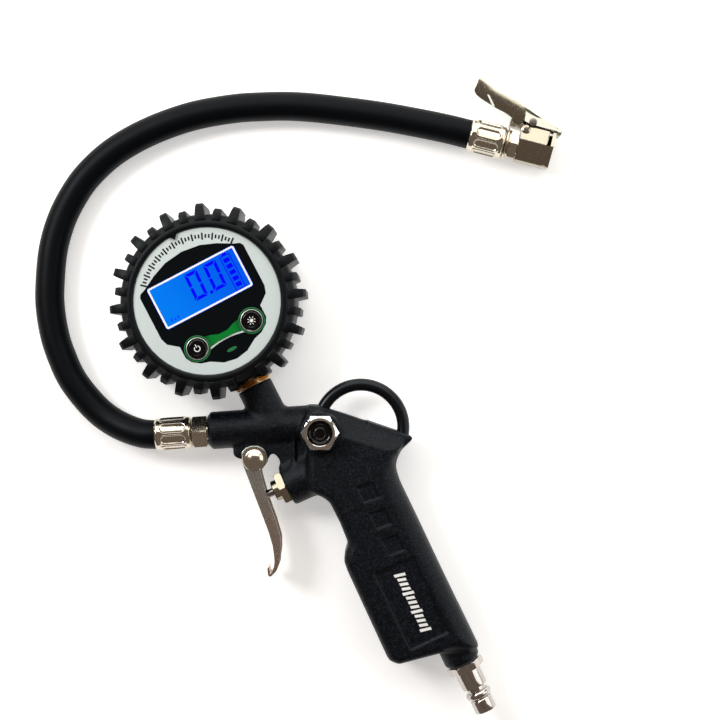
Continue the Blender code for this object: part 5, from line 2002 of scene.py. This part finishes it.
@dataclass
class Chuck:
    """Clip-on chuck at the hose's end."""

    at: Place = (110.1, 72.6, 8.4)
    tilt: float = -14.3
    pivot: Spot = (24.9, 11.0)

    def where(self) -> Matrix:
        """Returns the chuck's frame: x along it, y to its lever side."""
        return Matrix.Translation(Vector(self.at)) @ Matrix.Rotation(
            math.radians(self.tilt), 4, "Z")

    def axis(self) -> Place:
        """Returns the direction that it points in."""
        return tuple(self.where().to_3x3() @ Vector((1.0, 0.0, 0.0)))

    def neck(self) -> bpy.types.Object:
        """Returns the ringed neck with its nut."""
        where = stand(self.at, self.axis(), 90.0)
        stock = Stock().hexagon(11.3, 17.4, 20.8, 3.6, where, 0.3)
        stock.turned([
            (1.7, 25.2), (3.9, 25.2), (3.9, 21.0), (4.6, 20.7), (4.6, 17.6), (5.7, 17.4),
            (6.15, 17.2), (6.15, 16.85), (5.75, 16.6), (6.3, 16.5), (6.75, 16.2), (6.75, 15.8),
            (6.4, 15.55), (2.9, 15.5), (3.05, 12.0), (2.75, 11.6), (3.05, 8.0), (2.75, 7.6),
            (3.05, 4.0), (1.7, 2.0),
        ], where, 96, loop=True)
        return stock.piece("chuck_collar", "gun", NICKEL, "chuck_neck", sharp=24.0)

    def body(self) -> bpy.types.Object:
        """Returns the faceted body with its claw slot and hinge ear."""
        frame_here = self.where()
        section = [
            (9.3, -4.4), (9.3, 4.4), (8.6, 5.2), (2.4, 6.6), (-5.8, 4.2), (-6.4, 3.4),
            (-6.4, -3.4), (-5.8, -4.2), (2.4, -6.6), (8.6, -5.2),
        ]
        lift = frame_here @ Matrix(((0, 0, 1, 0), (1, 0, 0, 0), (0, 1, 0, 0), (0, 0, 0, 1)))
        bore = arc((0.0, 0.0), 4.2, 0.0, 354.0, 60)
        stock = Stock().plate([softened(section, 0.5, 3), bore], 21.1, 32.65, lift)
        near = [spot for spot in section if spot[0] < 2.0 and spot[1] > 0.0]
        far = [spot for spot in section if spot[0] < 2.0 and spot[1] < 0.0]
        waist = arc((0.0, 0.0), 4.2, -53.1, -306.9, 40)
        stock.plate(
            [[(2.52, 6.5), *near, *far, (2.52, -6.5), (2.52, -3.36), *waist, (2.52, 3.36)]],
            32.6, 34.55, lift,
        )
        stock.plate([softened(section, 0.5, 3), bore], 34.5, 35.8, lift)
        ear = [(22.0, 8.0), (22.6, 11.0), *arc(self.pivot, 2.3, 180.0, 0.0, 13), (28.4, 8.0)]
        lug = [(15.6, 7.4), (15.6, 10.6), (20.4, 10.6), (21.6, 9.2), (22.4, 8.4), (22.4, 7.4)]
        stock.plate([ear], -2.6, 2.6, frame_here)
        stock.plate([lug], -2.6, 2.6, frame_here)
        stock.turned(
            [(0.0, 6.3), (1.2, 6.25), (1.9, 5.9), (2.1, 5.4), (2.1, 4.0), (0.0, 4.0)],
            frame_here @ Matrix.Translation((22.7, 7.0, 0.0)), 40,
        )
        # A black plate at the bottom of the claw slot: painted shade for the slot's dark depth.
        floor = [(32.6, 2.6), (34.55, 2.6), (34.55, 8.7), (32.6, 8.7)]
        Stock().plate([floor], -5.6, -3.5, frame_here).piece(
            "claw_slot", "gun", PRINT_AND_SHADE_BLACK, slot="chuck_body")
        return stock.piece("chuck_shell", "gun", BODY_NICKEL, "chuck_body", sharp=24.0)

    def lever(self) -> bpy.types.Object:
        """Returns the bent sheet lever with its claw."""
        frame_here = self.where()
        deep = [
            (-2.0, 23.9), (0.2, 22.9), (5.2, 20.7), (10.0, 19.4), (14.7, 18.2), (18.6, 16.9),
            (20.6, 15.6), (21.4, 12.4), (20.9, 10.6), (19.6, 8.9), (17.6, 9.4), (15.4, 11.0),
            (12.6, 12.1), (8.5, 13.0), (4.6, 14.2), (0.8, 15.4), (-1.7, 16.6), (-3.0, 18.2),
        ]
        rear = [
            (-1.0, 23.4), (5.2, 20.7), (10.0, 19.4), (14.7, 18.4), (20.0, 17.3), (21.0, 14.6),
            (21.4, 11.5), (18.2, 13.2), (15.0, 14.4), (11.2, 15.4), (8.9, 16.0), (5.4, 17.8),
            (-0.6, 20.4),
        ]
        fore = [
            (19.8, 17.6), (23.7, 15.6), (28.9, 13.7), (33.8, 11.9), (38.2, 10.3), (37.6, 8.2),
            (36.3, 8.8), (36.1, 9.7), (30.6, 9.7), (23.9, 9.9), (21.2, 10.7), (20.8, 14.4),
        ]
        strap = [
            (-1.0, 24.2), (5.2, 20.9), (10.0, 19.6), (14.7, 18.6), (19.8, 17.6), (23.7, 15.6),
            (28.9, 13.7), (33.8, 11.9), (38.2, 10.3), (37.6, 8.2), (36.3, 8.8), (36.1, 9.7),
            (32.0, 11.2), (28.5, 12.6), (23.3, 14.5), (19.4, 16.4), (14.5, 17.4), (9.8, 18.4),
            (5.0, 19.7), (-1.2, 22.9),
        ]
        stock = Stock()
        stock.plate([softened(rear, 0.6, 3)], -5.0, -3.9, frame_here)
        for sign in (1.0, -1.0):
            self.sloped(stock, softened(fore, 0.5, 3), sign, frame_here)
        stock.plate([strap], -3.6, 3.6, frame_here)
        tooth = [(32.75, 11.8), (33.3, 11.6), (33.15, 4.0), (33.0, 3.3), (32.75, 3.9)]
        stock.plate([tooth], -3.2, 3.2, frame_here)
        stock.soften(0.14, 2, 40.0)
        clip = stock.piece("chuck_clip", "chuck_lever", LEVER_NICKEL, "chuck_lever", sharp=40.0)
        lean = frame_here @ Matrix.Translation((0.0, 23.0, 0.0)) @ Matrix(
            ((1, 0, 0, 0), (0, 1, 0, 0), (0, 0.11, 1, 0), (0, 0, 0, 1))
        ) @ Matrix.Translation((0.0, -23.0, 0.0))
        thumb = Stock().plate([softened(deep, 0.7, 4)], 4.0, 5.0, lean)
        thumb.soften(0.2, 2, 40.0)
        thumb.piece("clip_thumb", "chuck_lever", THUMB_STEEL, slot="chuck_lever", sharp=40.0)
        # A thin white strip along the thumb's ridge: a painted highlight on its edge.
        ridge = [(3.0, 17.7), (3.9, 17.7), (7.4, 13.7), (6.5, 13.2)]
        tab = Stock().plate([ridge], 4.9, 5.3, lean).soften(0.12, 2, 40.0)
        tab.piece("thumb_ridge_highlight", "chuck_lever", LABEL_AND_HIGHLIGHT_WHITE, slot="chuck_lever", sharp=40.0)
        return clip

    def sloped(self, stock: Stock, outline: Sequence[Spot], sign: float, where: Matrix) -> None:
        """Adds one cheek that leans in towards the lever's back.

        Args:
            stock: The lever.
            outline: The cheek's outline.
            sign: 1 for the near cheek and -1 for the far one.
            where: The chuck's frame.
        """
        faces = tessellate_polygon([[Vector((x, y, 0.0)) for x, y in outline]])
        layers = []
        for base in (4.0, 5.0):
            layers.append([
                stock.work.verts.new(
                    where @ Vector((x, y, sign * (base - 0.36 * max(0.0, y - 9.7)))))
                for x, y in outline
            ])
        for a, b, c in faces:
            stock.work.faces.new((layers[0][a], layers[0][b], layers[0][c]))
            stock.work.faces.new((layers[1][a], layers[1][b], layers[1][c]))
        for j in range(len(outline)):
            k = (j + 1) % len(outline)
            stock.work.faces.new((layers[0][j], layers[0][k], layers[1][k], layers[1][j]))

    def build(self) -> list[bpy.types.Object]:
        """Returns the pieces that hang on the hose's end."""
        ferrule = CrimpedFerrule(
            "chuck_ferrule", "front_ferrule", self.at, self.axis(), roll=78.0).build()
        spot = self.where() @ Vector((*self.pivot, 0.0))
        pin = Stock().turned([
            (0.0, 5.9), (1.2, 5.85), (1.55, 5.6), (1.7, 5.35), (1.7, 5.15), (1.0, 5.1),
            (1.0, -5.1), (1.7, -5.15), (1.7, -5.35), (1.4, -5.8), (0.0, -5.9),
        ], stand(spot, UP), 48).piece("clip_pin", "gun", DARK_STEEL, "lever_pin")
        kept = [dress_node(node, finish) for node, finish in (
            ("chuck_seal", SEAL_RUBBER), ("core_pin", BRASS), ("lever_spring", STEEL),
        )]
        return [ferrule, self.neck(), self.body(), self.lever(), pin, *kept]


def main() -> None:
    """Builds the studio and every sub-assembly in order."""
    logging.basicConfig(level=logging.INFO, format="%(message)s")
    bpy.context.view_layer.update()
    studio = Studio()
    studio.camera()
    hose = AirHose()
    tube = hose.build()
    ends = Chuck().build()
    round(hose.length(), 3)
    studio.table()
    studio.light()
    CastGun().build()
    HangingLoop().build()
    HoseFitting().build()
    InletPlug().build()
    TriggerValve().build()
    SidePort().build()
    StampedTrigger().build()
    Gauge().build()
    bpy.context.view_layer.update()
    LOG.info("the hose is %.3f m long", hose.length())


if __name__ == "__main__":
    main()
